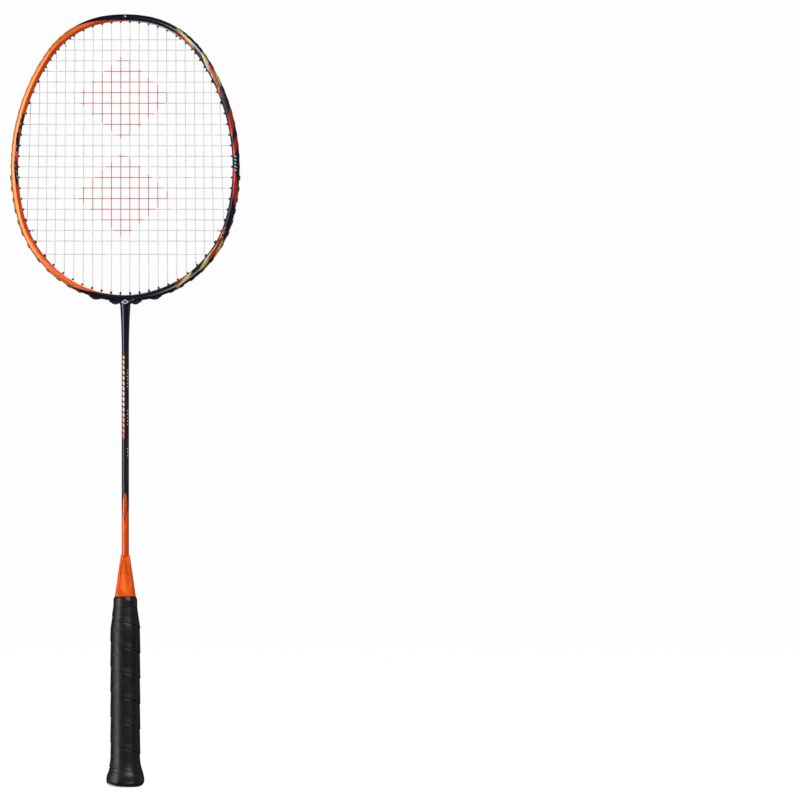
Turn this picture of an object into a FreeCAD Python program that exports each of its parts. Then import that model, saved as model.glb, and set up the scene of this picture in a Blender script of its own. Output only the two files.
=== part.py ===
import FreeCAD, Part
import math
import os

# A badminton racket, standing on its butt: millimetres, origin at the middle of the butt's underside,
# +Z up the shaft to the top of the head, the string bed in the XZ plane and the front face towards -Y.

Vector = FreeCAD.Vector
ORIGIN = Vector(0, 0, 0)
UP = Vector(0, 0, 1)
ALONG_X = Vector(1, 0, 0)
ALONG_Y = Vector(0, 1, 0)
RIGHT = 1
LEFT = -1

# Whole racket
LENGTH = 675.0

# Head: a hoop whose centre line is four tangent arcs a side, from the top centre to the throat
HOOP_WIDTH = 6.2
HOOP_DEPTH = 10.2
HALF_WIDTH = HOOP_WIDTH / 2
HALF_DEPTH = HOOP_DEPTH / 2
TOP_RADIUS = 116.1
SHOULDER_RADIUS = 73.5
THROAT_RADIUS = 94.2
TOP_SWEEP = 7.83
SHOULDER_SWEEP = 47.85
SIDE_SWEEP = 48.93

# Hoop section, as distances outwards from the centre line
CREST = -0.65
GROOVE_FLOOR = 1.5
GROOVE_HALF = 1.9
GROOVE_MOUTH_HALF = 2.25
CAVITY_INNER = -2.1
CAVITY_OUTER = 0.6

# Neck that the hoop grows down into, and its fillet
NECK_BOTTOM = 381.6
NECK_BORE_RADIUS = 2.2
NECK_HALF_WIDTH = 4.5
NECK_HALF_DEPTH = 5.0
NECK_STEPS = 8
FILLET_BOTTOM = 420.6
FILLET_REACH = 9.0
FILLET_RISE = 4.3
FILLET_STEPS = 8

# Joint core: where its arms start round the hoop, and how far its stem reaches down and rises
ARMS_START = 171.0
STEM_REACH = 32.0
STEM_RISE = 1.5

# Shaft
SHAFT_RADIUS = 3.2
SHAFT_BORE_RADIUS = 2.2
SHAFT_BOTTOM = 60.0
GLUE_GAP = 0.05

# Grommets
BARREL_RADIUS = 0.95
BARREL_BORE = 0.75
SHARED_BARREL_RADIUS = 1.45
SHARED_BARREL_BORE = 1.1
UPPER_BARREL_STANDS = 1.25
LOWER_BARREL_STANDS = 1.9
THIN_FLANGE_TOP = 2.0
THICK_FLANGE_TOP = 3.05
FLANGE_HALF = 1.8
FLANGE_OVERHANG = 2.6
CHEEK_INNER = 1.1
CHEEK_HALF_LENGTH = 2.1
CHEEK_CORNER = 0.45
INSIDE_REACH = 12.0
FLUSH_CHEEK_TOP = 3.1
LOW_CHEEK_TOP = 3.5
HIGH_CHEEK_TOP = 4.5

# Stringing: 22 mains and 21 crosses
STRING_RADIUS = 0.35
STRING_OFFSET = 0.36
MAINS_A_SIDE = 11
CROSSES = 21
FIRST_MAIN = 4.0
MAIN_PITCH_TOP = 8.05
MAIN_PITCH_BOTTOM = 8.24
FIRST_CROSS_DROP = 21.9
CROSS_PITCH = 9.28
LAST_CROSS_DROP = 209.9
TURN_RADIUS = 0.9
TIP_CLEARANCE = 0.3
LONG_RUN = 9.0
KNOT_STANDS = 0.8
HITCH_PACKING = 0.95

# Holes of one side, in order from the top centre to the throat: M a main, C a cross, T the top end of
# a main and B its bottom end. A hole with two names is shared.
HOLE_ORDER = (
    "MT1", "MT2", "MT3", "MT4", "MT5", "MT6", "C1", "MT7", "C2", "MT8", "C3", "MT9", "C4", "C5 MT10",
    "C6", "C7 MT11", "C8", "C9", "C10", "C11", "C12", "C13", "C14", "C15", "C16", "C17", "C18 MB11",
    "C19", "C20 MB10", "C21 MB9", "MB8", "MB7", "MB6", "MB5", "MB4", "MB3", "MB2", "MB1",
)
FIRST_LOW_CHEEK = HOLE_ORDER.index("MT6")
FIRST_THICK = HOLE_ORDER.index("C14")
MAIN_TIE_HOLE = HOLE_ORDER.index("C19")
TOP_TIE_HOLE = HOLE_ORDER.index("MT7")
BOTTOM_TIE_HOLE = HOLE_ORDER.index("MB8")
UPPER_LEVEL = 2.4
LOWER_LEVEL = 3.45
OUTER_TWIN_LEVEL = 3.9
INNER_TWIN_LEVEL = 4.6
THROAT_SPLAY = 10.0

# Domed twin grommets of the throat: circle radius, and how far its crown stands from the centre line
OUTER_DOME_RADIUS = 6.0
OUTER_DOME_TOP = 5.1
INNER_DOME_RADIUS = 5.0
INNER_DOME_TOP = 6.1
DOME_HALF_DEPTH = 2.6
CHANNEL_HALF = 0.95

# Handle: every section is an octagon whose depth is a fixed share of its width
OCTAGON_DEPTH = 0.92
OCTAGON_FLAT = 0.43
CAP_TOP = 14.0
COLLAR_BOTTOM = 157.3
CONE_BOTTOM = 166.6

# Grip: a curved flare at its foot, a straight hold, and a taper at its top
GRIP_WIDTH = 26.3
GRIP_FOOT_WIDTH = 30.4
GRIP_TOP_WIDTH = 21.5
FLARE_TOP = 27.0
TAPER_BOTTOM = 138.0
FLARE_STEPS = 5
TAPE_THICKNESS = 1.8
CORE_TOP_WIDTH = 16.6
COLLAR_FOOT_WIDTH = 21.3
COLLAR_SHOULDER = 163.5
COLLAR_SHOULDER_WIDTH = 20.6
COLLAR_TOP_WIDTH = 18.9
COLLAR_STEPS = 3

# Cap: a rounded foot up to its widest place, then drawn in towards the tape
CAP_FOOT_WIDTH = 18.0
CAP_WIDTH = 33.6
CAP_TOP_WIDTH = 29.2
CAP_WIDEST = 6.3
CAP_ROUNDNESS = 2.3
CAP_STEPS = 5
STUB_WIDTH = 22.0
STUB_BOTTOM = 3.0
TENON_BOTTOM_RADIUS = 6.0
TENON_TOP_RADIUS = 4.6
TENON_TOP = 186.0
BADGE_RADIUS = 6.5
BADGE_THICKNESS = 0.5

# Cone cap: a tapering block with chamfered corners, a V notch at its mouth and a sunk panel each side
CONE_TOP = 202.6
CONE_BOTTOM_HALF = (8.95, 8.2)
CONE_BOTTOM_CHAMFER = 1.9
CONE_TOP_HALF = (3.85, 3.85)
CONE_TOP_CHAMFER = 0.75
NOTCH_BOTTOM = 199.4
NOTCH_HALF = 3.4
PANEL_DEPTH = 0.35
CUT_REACH = 10.0
PANEL_OUTLINE = ((-2.2, 196.5), (0.0, 198.0), (2.2, 196.5), (4.8, 174.4), (0.0, 169.6), (-4.8, 174.4))

# Staple that starts the grip tape on the core
STAPLE_HEIGHT = 30.0
STAPLE_CROWN = 8.0
STAPLE_WIRE = 0.5
STAPLE_LEG = 4.5


def hoop_arcs():
    """The right half's centre line as (centre x, centre z, radius, start angle, end angle)."""
    first = math.radians(TOP_SWEEP)
    second = math.radians(TOP_SWEEP + SHOULDER_SWEEP)
    third = math.radians(TOP_SWEEP + SHOULDER_SWEEP + SIDE_SWEEP)
    # the side's radius is the one that brings the throat arc's centre back onto the axis
    across = THROAT_RADIUS * math.sin(third) - SHOULDER_RADIUS * math.sin(second)
    across -= (TOP_RADIUS - SHOULDER_RADIUS) * math.sin(first)
    side_radius = across / (math.sin(third) - math.sin(second))
    radii = (TOP_RADIUS, SHOULDER_RADIUS, side_radius, THROAT_RADIUS)
    angles = (0.0, first, second, third, math.pi)
    x = 0.0
    z = LENGTH - HALF_WIDTH - TOP_RADIUS
    arcs = []
    for i, radius in enumerate(radii):
        if i:
            step = radii[i - 1] - radius
            x += step * math.sin(angles[i])
            z += step * math.cos(angles[i])
        arcs.append((x, z, radius, angles[i], angles[i + 1]))
    return arcs


ARCS = hoop_arcs()
THROAT_CENTRE_Z = ARCS[-1][1]
HOOP_BOTTOM = THROAT_CENTRE_Z - THROAT_RADIUS - HALF_WIDTH


def hoop_point(turn, out, y=0.0):
    """A point of the hoop at an angle from the top (negative to the left), out from its centre line."""
    side = LEFT if turn < 0 else RIGHT
    turn = abs(turn)
    for x, z, radius, start, end in ARCS:
        if turn <= end:
            break
    reach = radius + out
    return Vector(side * (x + reach * math.sin(turn)), y, z + reach * math.cos(turn))


def turn_at_x(distance, out, lower):
    """The angle where a line at this distance from the axis crosses the hoop's offset curve."""
    for x, z, radius, start, end in ARCS:
        sine = (distance - x) / (radius + out)
        if abs(sine) <= 1:
            turn = math.asin(sine)
            if lower:
                turn = math.pi - turn
            if start <= turn <= end:
                return turn
    raise ValueError("the line misses the hoop")


def turn_at_z(height, out):
    """The angle where a level line crosses the hoop's offset curve."""
    for x, z, radius, start, end in ARCS:
        cosine = (height - z) / (radius + out)
        if abs(cosine) <= 1 and start <= math.acos(cosine) <= end:
            return math.acos(cosine)
    raise ValueError("the line misses the hoop")


def cross_height(number):
    drop = FIRST_CROSS_DROP + CROSS_PITCH * (number - 1)
    if number == CROSSES:
        drop = LAST_CROSS_DROP
    return LENGTH - drop


def main_distance(number, lower):
    pitch = MAIN_PITCH_BOTTOM if lower else MAIN_PITCH_TOP
    return FIRST_MAIN + pitch * (number - 1)


class Hole:
    """One string hole of the hoop, with the grommet sizes and the string level that go with its place."""

    def __init__(self, index, side):
        names = HOLE_ORDER[index].split()
        self.index = index
        self.side = side
        self.low = index >= FIRST_THICK
        self.shared = len(names) == 2
        self.barrel = SHARED_BARREL_RADIUS if self.shared else BARREL_RADIUS
        self.bore = SHARED_BARREL_BORE if self.shared else BARREL_BORE
        self.stands = LOWER_BARREL_STANDS if index > MAIN_TIE_HOLE else UPPER_BARREL_STANDS
        self.tip = -HALF_WIDTH - self.stands
        lead = names[0]
        if lead.startswith("C"):
            turn = turn_at_z(cross_height(int(lead[1:])), self.tip)
        else:
            lower = lead.startswith("MB")
            turn = turn_at_x(main_distance(int(lead[2:]), lower), self.tip, lower)
        self.turn = side * turn
        splay = math.radians(THROAT_SPLAY) if lead == "MB1" else 0.0
        self.axis = Vector(side * math.sin(turn - splay), 0, math.cos(turn - splay))
        self.tip_point = hoop_point(self.turn, self.tip)
        self.level = UPPER_LEVEL
        if self.low:
            self.level = LOWER_LEVEL
        if lead in ("MB4", "MB3"):
            self.level = OUTER_TWIN_LEVEL
        if lead in ("MB2", "MB1"):
            self.level = INNER_TWIN_LEVEL
        self.flange_top = THICK_FLANGE_TOP if self.low else THIN_FLANGE_TOP
        self.cheek_top = FLUSH_CHEEK_TOP
        if index >= FIRST_LOW_CHEEK:
            self.cheek_top = HIGH_CHEEK_TOP if self.low else LOW_CHEEK_TOP

    def at(self, out, y=0.0):
        """A point on the hole's axis, out from the hoop's centre line."""
        point = self.tip_point + self.axis * (out - self.tip)
        return Vector(point.x, y, point.z)

    def cylinder(self, radius, start, end):
        return Part.makeCylinder(radius, end - start, self.at(start), self.axis)

    def drill(self, start, end):
        """What the hoop loses for this grommet's barrel."""
        return self.cylinder(self.barrel + GLUE_GAP, start, end)


HOLES = {
    side: [Hole(index, side) for index in range(len(HOLE_ORDER))]
    for side in (LEFT, RIGHT)
}
ALL_HOLES = HOLES[LEFT] + HOLES[RIGHT]


def hole_named(name, side):
    for index, names in enumerate(HOLE_ORDER):
        if name in names.split():
            return HOLES[side][index]
    raise ValueError(name)


def mirrored(shape):
    return shape.mirror(ORIGIN, ALONG_X)


def polygon_face(points):
    return Part.Face(Part.makePolygon(list(points) + [points[0]]))


def frame_profile(place):
    """The hoop's outer section: flat inside, two bevels to a rounded crest, a groove round the outside."""
    half = (
        (-HALF_WIDTH, 2.4), (-1.2, 4.8), (CREST, HALF_DEPTH), (0.05, 4.87), (2.85, 3.2),
        (3.05, 2.98), (HALF_WIDTH, 2.7), (HALF_WIDTH, GROOVE_MOUTH_HALF), (GROOVE_FLOOR, GROOVE_HALF),
    )
    edges = []
    for sign in (1, -1):
        p = [place(out, sign * y) for out, y in half]
        edges.append(Part.LineSegment(p[0], p[1]).toShape())
        edges.append(Part.Arc(p[1], p[2], p[3]).toShape())
        edges.append(Part.LineSegment(p[3], p[4]).toShape())
        edges.append(Part.Arc(p[4], p[5], p[6]).toShape())
        edges.append(Part.LineSegment(p[6], p[7]).toShape())
        edges.append(Part.LineSegment(p[7], p[8]).toShape())
    for out, y in (half[0], half[-1]):
        edges.append(Part.LineSegment(place(out, -y), place(out, y)).toShape())
    return Part.Face(Part.Wire(Part.__sortEdges__(edges)))


def cavity_profile(place, inset=0.0):
    """The hollow inside the hoop's section."""
    half = (
        (CAVITY_INNER + inset, 2.2 - inset), (-0.8, 3.95 - inset), (0.2, 3.95 - inset),
        (CAVITY_OUTER - inset, 3.5 - inset),
    )
    points = [place(out, y) for out, y in half]
    points += [place(out, -y) for out, y in reversed(half)]
    return polygon_face(points)


def band_profile(place, inner, outer, half):
    return polygon_face([place(inner, -half), place(outer, -half), place(outer, half), place(inner, half)])


def swept_half(profile, start=0.0, end=math.pi):
    """A section carried round the right half of the hoop between two angles."""
    solids = []
    for x, z, radius, arc_start, arc_end in ARCS:
        low = max(start, arc_start)
        high = min(end, arc_end)
        if high - low < 1e-6:
            continue
        face = profile(lambda out, y: Vector(x, y, z + radius + out))
        centre = Vector(x, 0, z)
        face.rotate(centre, ALONG_Y, math.degrees(low))
        solids.append(face.revolve(centre, ALONG_Y, math.degrees(high - low)))
    if len(solids) == 1:
        return solids[0]
    return solids[0].multiFuse(solids[1:])


def swept_ring(profile):
    half = swept_half(profile)
    return half.fuse(mirrored(half)).removeSplitter()


def ellipse_wire(half_x, half_y, height):
    centre = Vector(0, 0, height)
    if half_x == half_y:
        curve = Part.Circle(centre, UP, half_x)
    elif half_x > half_y:
        curve = Part.Ellipse(centre + ALONG_X * half_x, centre + ALONG_Y * half_y, centre)
    else:
        curve = Part.Ellipse(centre + ALONG_Y * half_y, centre - ALONG_X * half_x, centre)
    return Part.Wire([curve.toShape()])


def neck():
    """The neck's trumpet: the shaft's round growing slowly, then a quarter-ellipse fillet into the hoop."""
    sections = []
    for step in range(NECK_STEPS):
        grown = step / NECK_STEPS
        half_x = SHAFT_RADIUS + (NECK_HALF_WIDTH - SHAFT_RADIUS) * grown**1.8
        half_y = SHAFT_RADIUS + (NECK_HALF_DEPTH - SHAFT_RADIUS) * grown**1.5
        sections.append((half_x, half_y, NECK_BOTTOM + (FILLET_BOTTOM - NECK_BOTTOM) * grown))
    for step in range(FILLET_STEPS + 1):
        swing = math.radians(90) * step / FILLET_STEPS
        half_x = NECK_HALF_WIDTH + FILLET_REACH * (1 - math.cos(swing))
        sections.append((half_x, NECK_HALF_DEPTH, FILLET_BOTTOM + FILLET_RISE * math.sin(swing)))
    sections.append((NECK_HALF_WIDTH + FILLET_REACH, NECK_HALF_DEPTH, HOOP_BOTTOM + HALF_WIDTH))
    return Part.makeLoft([ellipse_wire(*section) for section in sections], True, True)


def head_frame():
    ring = swept_ring(frame_profile)
    body = ring.fuse(neck())
    hollow = swept_ring(cavity_profile)
    bore_top = HOOP_BOTTOM + HALF_WIDTH
    bore = Part.makeCylinder(NECK_BORE_RADIUS, bore_top - NECK_BOTTOM + 1, Vector(0, 0, NECK_BOTTOM - 1))
    drills = [hole.drill(-HALF_WIDTH - 2, INNER_DOME_TOP + 2) for hole in ALL_HOLES]
    return body.cut([hollow, bore] + drills)


def t_joint():
    """The core that ties hoop and shaft: two arms in the hoop's hollow and a stem down the shaft."""
    arm = swept_half(lambda place: cavity_profile(place, GLUE_GAP), math.radians(ARMS_START))
    stem_bottom = NECK_BOTTOM - STEM_REACH
    stem_top = HOOP_BOTTOM + HALF_WIDTH + STEM_RISE
    stem = Part.makeCylinder(NECK_BORE_RADIUS - GLUE_GAP, stem_top - stem_bottom, Vector(0, 0, stem_bottom))
    whole = arm.multiFuse([mirrored(arm), stem])
    drills = [hole.drill(-HALF_WIDTH, HALF_WIDTH) for hole in ALL_HOLES]
    return whole.cut(drills).removeSplitter()


def shaft():
    length = NECK_BOTTOM - SHAFT_BOTTOM
    bottom = Vector(0, 0, SHAFT_BOTTOM)
    tube = Part.makeCylinder(SHAFT_RADIUS, length, bottom)
    return tube.cut(Part.makeCylinder(SHAFT_BORE_RADIUS, length, bottom))


def eight_points(half_x, half_y, flat_x, flat_y, height):
    corners = (
        (flat_x, -half_y), (half_x, -flat_y), (half_x, flat_y), (flat_x, half_y),
        (-flat_x, half_y), (-half_x, flat_y), (-half_x, -flat_y), (-flat_x, -half_y),
    )
    return [Vector(x, y, height) for x, y in corners]


def closed_wire(points):
    return Part.makePolygon(points + [points[0]])


def octagon(width, height):
    half_x = width / 2
    half_y = half_x * OCTAGON_DEPTH
    return closed_wire(eight_points(half_x, half_y, half_x * OCTAGON_FLAT, half_y * OCTAGON_FLAT, height))


def octagon_loft(sections):
    return Part.makeLoft([octagon(width, height) for height, width in sections], True, True)


def spread(start, end, steps):
    """Evenly spaced values from start to end, both included."""
    return [start + (end - start) * step / steps for step in range(steps + 1)]


def grip_width(height):
    """Width of the wrapped grip at a height."""
    if height < FLARE_TOP:
        share = (FLARE_TOP - height) / (FLARE_TOP - CAP_TOP)
        return GRIP_WIDTH + (GRIP_FOOT_WIDTH - GRIP_WIDTH) * share**2
    share = max(height - TAPER_BOTTOM, 0.0) / (COLLAR_BOTTOM - TAPER_BOTTOM)
    return GRIP_WIDTH - (GRIP_WIDTH - GRIP_TOP_WIDTH) * share


def grip_sections(inset=0.0):
    """Height and width of the grip's octagons, drawn in by a thickness all round."""
    heights = spread(CAP_TOP, FLARE_TOP, FLARE_STEPS) + [TAPER_BOTTOM, COLLAR_BOTTOM]
    return [(height, grip_width(height) - 2 * inset) for height in heights]


def collar_sections():
    """Height and width of the collar's octagons: a slight taper, then a rounded top edge."""
    sections = [(COLLAR_BOTTOM, COLLAR_FOOT_WIDTH)]
    for share in spread(0.0, 1.0, COLLAR_STEPS):
        width = COLLAR_SHOULDER_WIDTH - (COLLAR_SHOULDER_WIDTH - COLLAR_TOP_WIDTH) * share**2
        sections.append((COLLAR_SHOULDER + (CONE_BOTTOM - COLLAR_SHOULDER) * share, width))
    return sections


def cap_sections():
    """Height and width of the cap's octagons, closest together where its foot curves most."""
    sections = []
    for swing in spread(0.0, math.pi / 2, CAP_STEPS):
        height = CAP_WIDEST * (1 - math.cos(swing))
        rounded = (1 - math.cos(swing) ** CAP_ROUNDNESS) ** (1 / CAP_ROUNDNESS)
        sections.append((height, CAP_FOOT_WIDTH + (CAP_WIDTH - CAP_FOOT_WIDTH) * rounded))
    for share in spread(0.0, 1.0, CAP_STEPS)[1:]:
        width = CAP_WIDTH - (CAP_WIDTH - CAP_TOP_WIDTH) * share**2
        sections.append((CAP_WIDEST + (CAP_TOP - CAP_WIDEST) * share, width))
    return sections


def core_envelope():
    return octagon_loft(grip_sections(TAPE_THICKNESS) + [(CONE_BOTTOM, CORE_TOP_WIDTH)])


def stub():
    return octagon_loft(((STUB_BOTTOM, STUB_WIDTH), (CAP_TOP, STUB_WIDTH)))


def tenon(gap=0.0):
    height = TENON_TOP - CONE_BOTTOM + gap
    return Part.makeCone(TENON_BOTTOM_RADIUS + gap, TENON_TOP_RADIUS + gap, height, Vector(0, 0, CONE_BOTTOM))


def grip_staple():
    front = -(GRIP_WIDTH / 2 - TAPE_THICKNESS) * OCTAGON_DEPTH
    half_wire = STAPLE_WIRE / 2
    crown = Part.makeBox(
        STAPLE_CROWN, STAPLE_WIRE, STAPLE_WIRE, Vector(-STAPLE_CROWN / 2, front, STAPLE_HEIGHT - half_wire)
    )
    legs = []
    for side in (LEFT, RIGHT):
        x = side * (STAPLE_CROWN / 2 - half_wire)
        corner = Vector(x - half_wire, front, STAPLE_HEIGHT - half_wire)
        legs.append(Part.makeBox(STAPLE_WIRE, STAPLE_LEG, STAPLE_WIRE, corner))
    return crown.multiFuse(legs).removeSplitter()


def handle_core():
    body = core_envelope().multiFuse([stub(), tenon()])
    bore = Part.makeCylinder(SHAFT_RADIUS + GLUE_GAP, TENON_TOP, Vector(0, 0, SHAFT_BOTTOM))
    return body.cut([bore, grip_staple()])


def grip_tape():
    return octagon_loft(grip_sections()).cut(core_envelope())


def grip_collar():
    return octagon_loft(collar_sections()).cut(core_envelope())


def butt_badge():
    return Part.makeCylinder(BADGE_RADIUS, BADGE_THICKNESS)


def butt_cap():
    return octagon_loft(cap_sections()).cut([stub(), butt_badge()])


def cone_block(sink=0.0):
    """The cone's outer block; sink moves its front and back faces inwards."""
    wires = []
    levels = (
        (CONE_BOTTOM, CONE_BOTTOM_HALF, CONE_BOTTOM_CHAMFER), (CONE_TOP, CONE_TOP_HALF, CONE_TOP_CHAMFER),
    )
    for height, (half_x, half_y), chamfer in levels:
        depth = half_y - sink
        wires.append(closed_wire(eight_points(half_x, depth, half_x - chamfer, depth - chamfer, height)))
    return Part.makeLoft(wires, True, True)


def cone_cap():
    front = -CUT_REACH
    panel = polygon_face([Vector(x, front, z) for x, z in PANEL_OUTLINE]).extrude(ALONG_Y * 2 * CUT_REACH)
    sunk = panel.cut(cone_block(PANEL_DEPTH))
    notch_top = CONE_TOP + 1
    reach = NOTCH_HALF * (notch_top - NOTCH_BOTTOM) / (CONE_TOP - NOTCH_BOTTOM)
    corners = ((-reach, notch_top), (reach, notch_top), (0.0, NOTCH_BOTTOM))
    notch = polygon_face([Vector(x, front, z) for x, z in corners]).extrude(ALONG_Y * 2 * CUT_REACH)
    bore = Part.makeCylinder(SHAFT_RADIUS + GLUE_GAP, CONE_TOP, Vector(0, 0, CONE_BOTTOM - 1))
    return cone_block().cut([sunk, notch, bore, tenon(GLUE_GAP)])


def cheeks(hole):
    """The walls that stand each side of the string where it leaves a grommet, with their corners cut."""
    along = hole.axis.cross(ALONG_Y)
    top = hole.cheek_top
    half = CHEEK_HALF_LENGTH
    outline = (
        (-half, 0.0), (half, 0.0), (half, top - CHEEK_CORNER), (half - CHEEK_CORNER, top),
        (CHEEK_CORNER - half, top), (-half, top - CHEEK_CORNER),
    )
    walls = []
    for y in (CHEEK_INNER, -FLANGE_HALF):
        face = polygon_face([hole.at(out, y) + along * step for step, out in outline])
        walls.append(face.extrude(ALONG_Y * (FLANGE_HALF - CHEEK_INNER)))
    return walls


# everything inwards of the groove's floor, which no flange or cheek may reach
INSIDE = swept_ring(lambda place: band_profile(place, -INSIDE_REACH, GROOVE_FLOOR, INSIDE_REACH))


def grommet_strip(holes, top):
    """A flange in the groove with one barrel and one pair of cheeks a hole."""
    margin = FLANGE_OVERHANG / SHOULDER_RADIUS
    parts = []

    def flange(place):
        return band_profile(place, GROOVE_FLOOR, top, FLANGE_HALF)

    for side in (LEFT, RIGHT):
        turns = [abs(hole.turn) for hole in holes if hole.side == side]
        if not turns:
            continue
        start = max(min(turns) - margin, 0.0)
        if len({hole.side for hole in holes}) == 2:
            start = 0.0
        band = swept_half(flange, start, max(turns) + margin)
        parts.append(band if side == RIGHT else mirrored(band))
    walls = [wall for hole in holes for wall in cheeks(hole)]
    walls = [wall.cut(INSIDE) for wall in walls]
    barrels = [hole.cylinder(hole.barrel, hole.tip, top) for hole in holes]
    whole = parts[0].multiFuse(parts[1:] + walls + barrels)
    bores = [hole.cylinder(hole.bore, hole.tip - 1, HIGH_CHEEK_TOP + 1) for hole in holes]
    return whole.cut(bores).removeSplitter()


def twin_grommet(holes, radius, crown, level, frame):
    """A domed throat grommet: two barrels under one dome, with a channel for the string across it."""
    middle = (holes[0].turn + holes[1].turn) / 2
    centre = hoop_point(middle, crown - radius)
    dome = Part.makeCylinder(radius, 2 * DOME_HALF_DEPTH, centre - ALONG_Y * DOME_HALF_DEPTH, ALONG_Y)
    floor = level - STRING_RADIUS - GLUE_GAP
    start = holes[0].at(floor)
    end = holes[1].at(floor)
    outwards = (holes[0].axis + holes[1].axis).normalize() * radius
    along = (end - start).normalize() * radius
    corners = [start - along, end + along, end + along + outwards, start - along + outwards]
    channel = polygon_face([corner - ALONG_Y * CHANNEL_HALF for corner in corners])
    channel = channel.extrude(ALONG_Y * 2 * CHANNEL_HALF)
    seat = dome.cut([INSIDE, frame, channel])
    barrels = [hole.cylinder(hole.barrel, hole.tip, floor) for hole in holes]
    bores = [hole.cylinder(hole.bore, hole.tip - 1, crown + 1) for hole in holes]
    whole = seat.multiFuse(barrels).cut(bores)
    return max(whole.Solids, key=lambda solid: solid.Volume)


def rounded_path(points, radius):
    """Straight runs joined by tangent arcs, as one wire."""
    edges = []
    start = points[0]
    for before, corner, after in zip(points, points[1:], points[2:]):
        inward = (before - corner).normalize()
        outward = (after - corner).normalize()
        turn = math.pi - inward.getAngle(outward)
        room = 0.45 * min((before - corner).Length, (after - corner).Length)
        tangent = min(radius * math.tan(turn / 2), room)
        if turn < math.radians(12):
            tangent = room
        bend = tangent / math.tan(turn / 2)
        bisector = (inward + outward).normalize()
        middle = corner + bisector * (math.hypot(bend, tangent) - bend)
        leave = corner + inward * tangent
        rejoin = corner + outward * tangent
        edges.append(Part.LineSegment(start, leave).toShape())
        edges.append(Part.Arc(leave, middle, rejoin).toShape())
        start = rejoin
    edges.append(Part.LineSegment(start, points[-1]).toShape())
    return Part.Wire(edges)


def string_solid(points):
    path = rounded_path(points, TURN_RADIUS)
    circle = Part.Circle(points[0], points[1] - points[0], STRING_RADIUS).toShape()
    solid = path.makePipeShell([Part.Wire([circle])], True, False)
    expected = math.pi * STRING_RADIUS**2 * path.Length
    print("string length %.0f mm, volume over its path's %.4f" % (path.Length, solid.Volume / expected))
    return solid


def outside_run(first, second, y):
    """The string's points from one hole to the next round the outside of the hoop."""
    start = first.at(first.level, y)
    end = second.at(second.level, y)
    if (end - start).Length < LONG_RUN:
        return [start, end]
    middle = hoop_point((first.turn + second.turn) / 2, (first.level + second.level) / 2, y)
    return [start, middle, end]


def inner_point(hole, y):
    return hole.at(hole.tip - TIP_CLEARANCE, y)


def neighbour_direction(hole):
    """The way that the string already in a tie-off hole runs, inwards from the barrel."""
    names = HOLE_ORDER[hole.index]
    if names.startswith("MT"):
        return -UP
    if names.startswith("MB"):
        return UP
    return ALONG_X * -hole.side


def knot_point(hole, y):
    return inner_point(hole, y) + neighbour_direction(hole) * KNOT_STANDS


def string_points(stops, first_tie, last_tie, y):
    """The corners of one string: from its first knot through every pair of holes to its last knot."""
    points = [knot_point(first_tie, y), inner_point(first_tie, y)] + outside_run(first_tie, stops[0][0], y)
    for place, (enters, leaves) in enumerate(stops):
        points += [inner_point(enters, y), inner_point(leaves, y)]
        following = stops[place + 1][0] if place + 1 < len(stops) else last_tie
        points += outside_run(leaves, following, y)
    return points + [inner_point(last_tie, y), knot_point(last_tie, y)]


def main_string():
    """One string up and down all 22 mains, tied off at a cross hole each side."""
    y = STRING_OFFSET
    order = [(LEFT, number) for number in range(MAINS_A_SIDE, 0, -1)]
    order += [(RIGHT, number) for number in range(1, MAINS_A_SIDE + 1)]
    stops = []
    for place, (side, number) in enumerate(order):
        ends = ("MB", "MT") if place % 2 == 0 else ("MT", "MB")
        stops.append([hole_named(end + str(number), side) for end in ends])
    first_tie = HOLES[LEFT][MAIN_TIE_HOLE]
    last_tie = HOLES[RIGHT][MAIN_TIE_HOLE]
    return string_solid(string_points(stops, first_tie, last_tie, y))


def cross_string():
    """One string to and fro over all 21 crosses, tied off at a main's hole at the top and at the bottom."""
    y = -STRING_OFFSET
    first_tie = HOLES[LEFT][TOP_TIE_HOLE]
    last_tie = HOLES[RIGHT][BOTTOM_TIE_HOLE]
    stops = []
    for number in range(1, CROSSES + 1):
        sides = (LEFT, RIGHT) if number % 2 else (RIGHT, LEFT)
        stops.append([hole_named("C" + str(number), side) for side in sides])
    return string_solid(string_points(stops, first_tie, last_tie, y))


def knot(hole, y):
    """A tie-off just inside the barrel: two hitches round the neighbouring string, at one string's end."""
    neighbour = neighbour_direction(hole)
    centre = knot_point(hole, -y)
    hitches = []
    for step in (1, 3):
        place = centre + neighbour * (step * STRING_RADIUS * HITCH_PACKING)
        hitches.append(Part.makeTorus(2 * STRING_RADIUS, STRING_RADIUS, place, neighbour))
    return hitches[0].fuse(hitches[1])


def main_knots():
    return Part.makeCompound([knot(HOLES[side][MAIN_TIE_HOLE], STRING_OFFSET) for side in (LEFT, RIGHT)])


def cross_knots():
    ties = (HOLES[LEFT][TOP_TIE_HOLE], HOLES[RIGHT][BOTTOM_TIE_HOLE])
    return Part.makeCompound([knot(hole, -STRING_OFFSET) for hole in ties])


def holes_between(first, last, side):
    start = HOLE_ORDER.index(first)
    end = HOLE_ORDER.index(last)
    return HOLES[side][start : end + 1]


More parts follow.
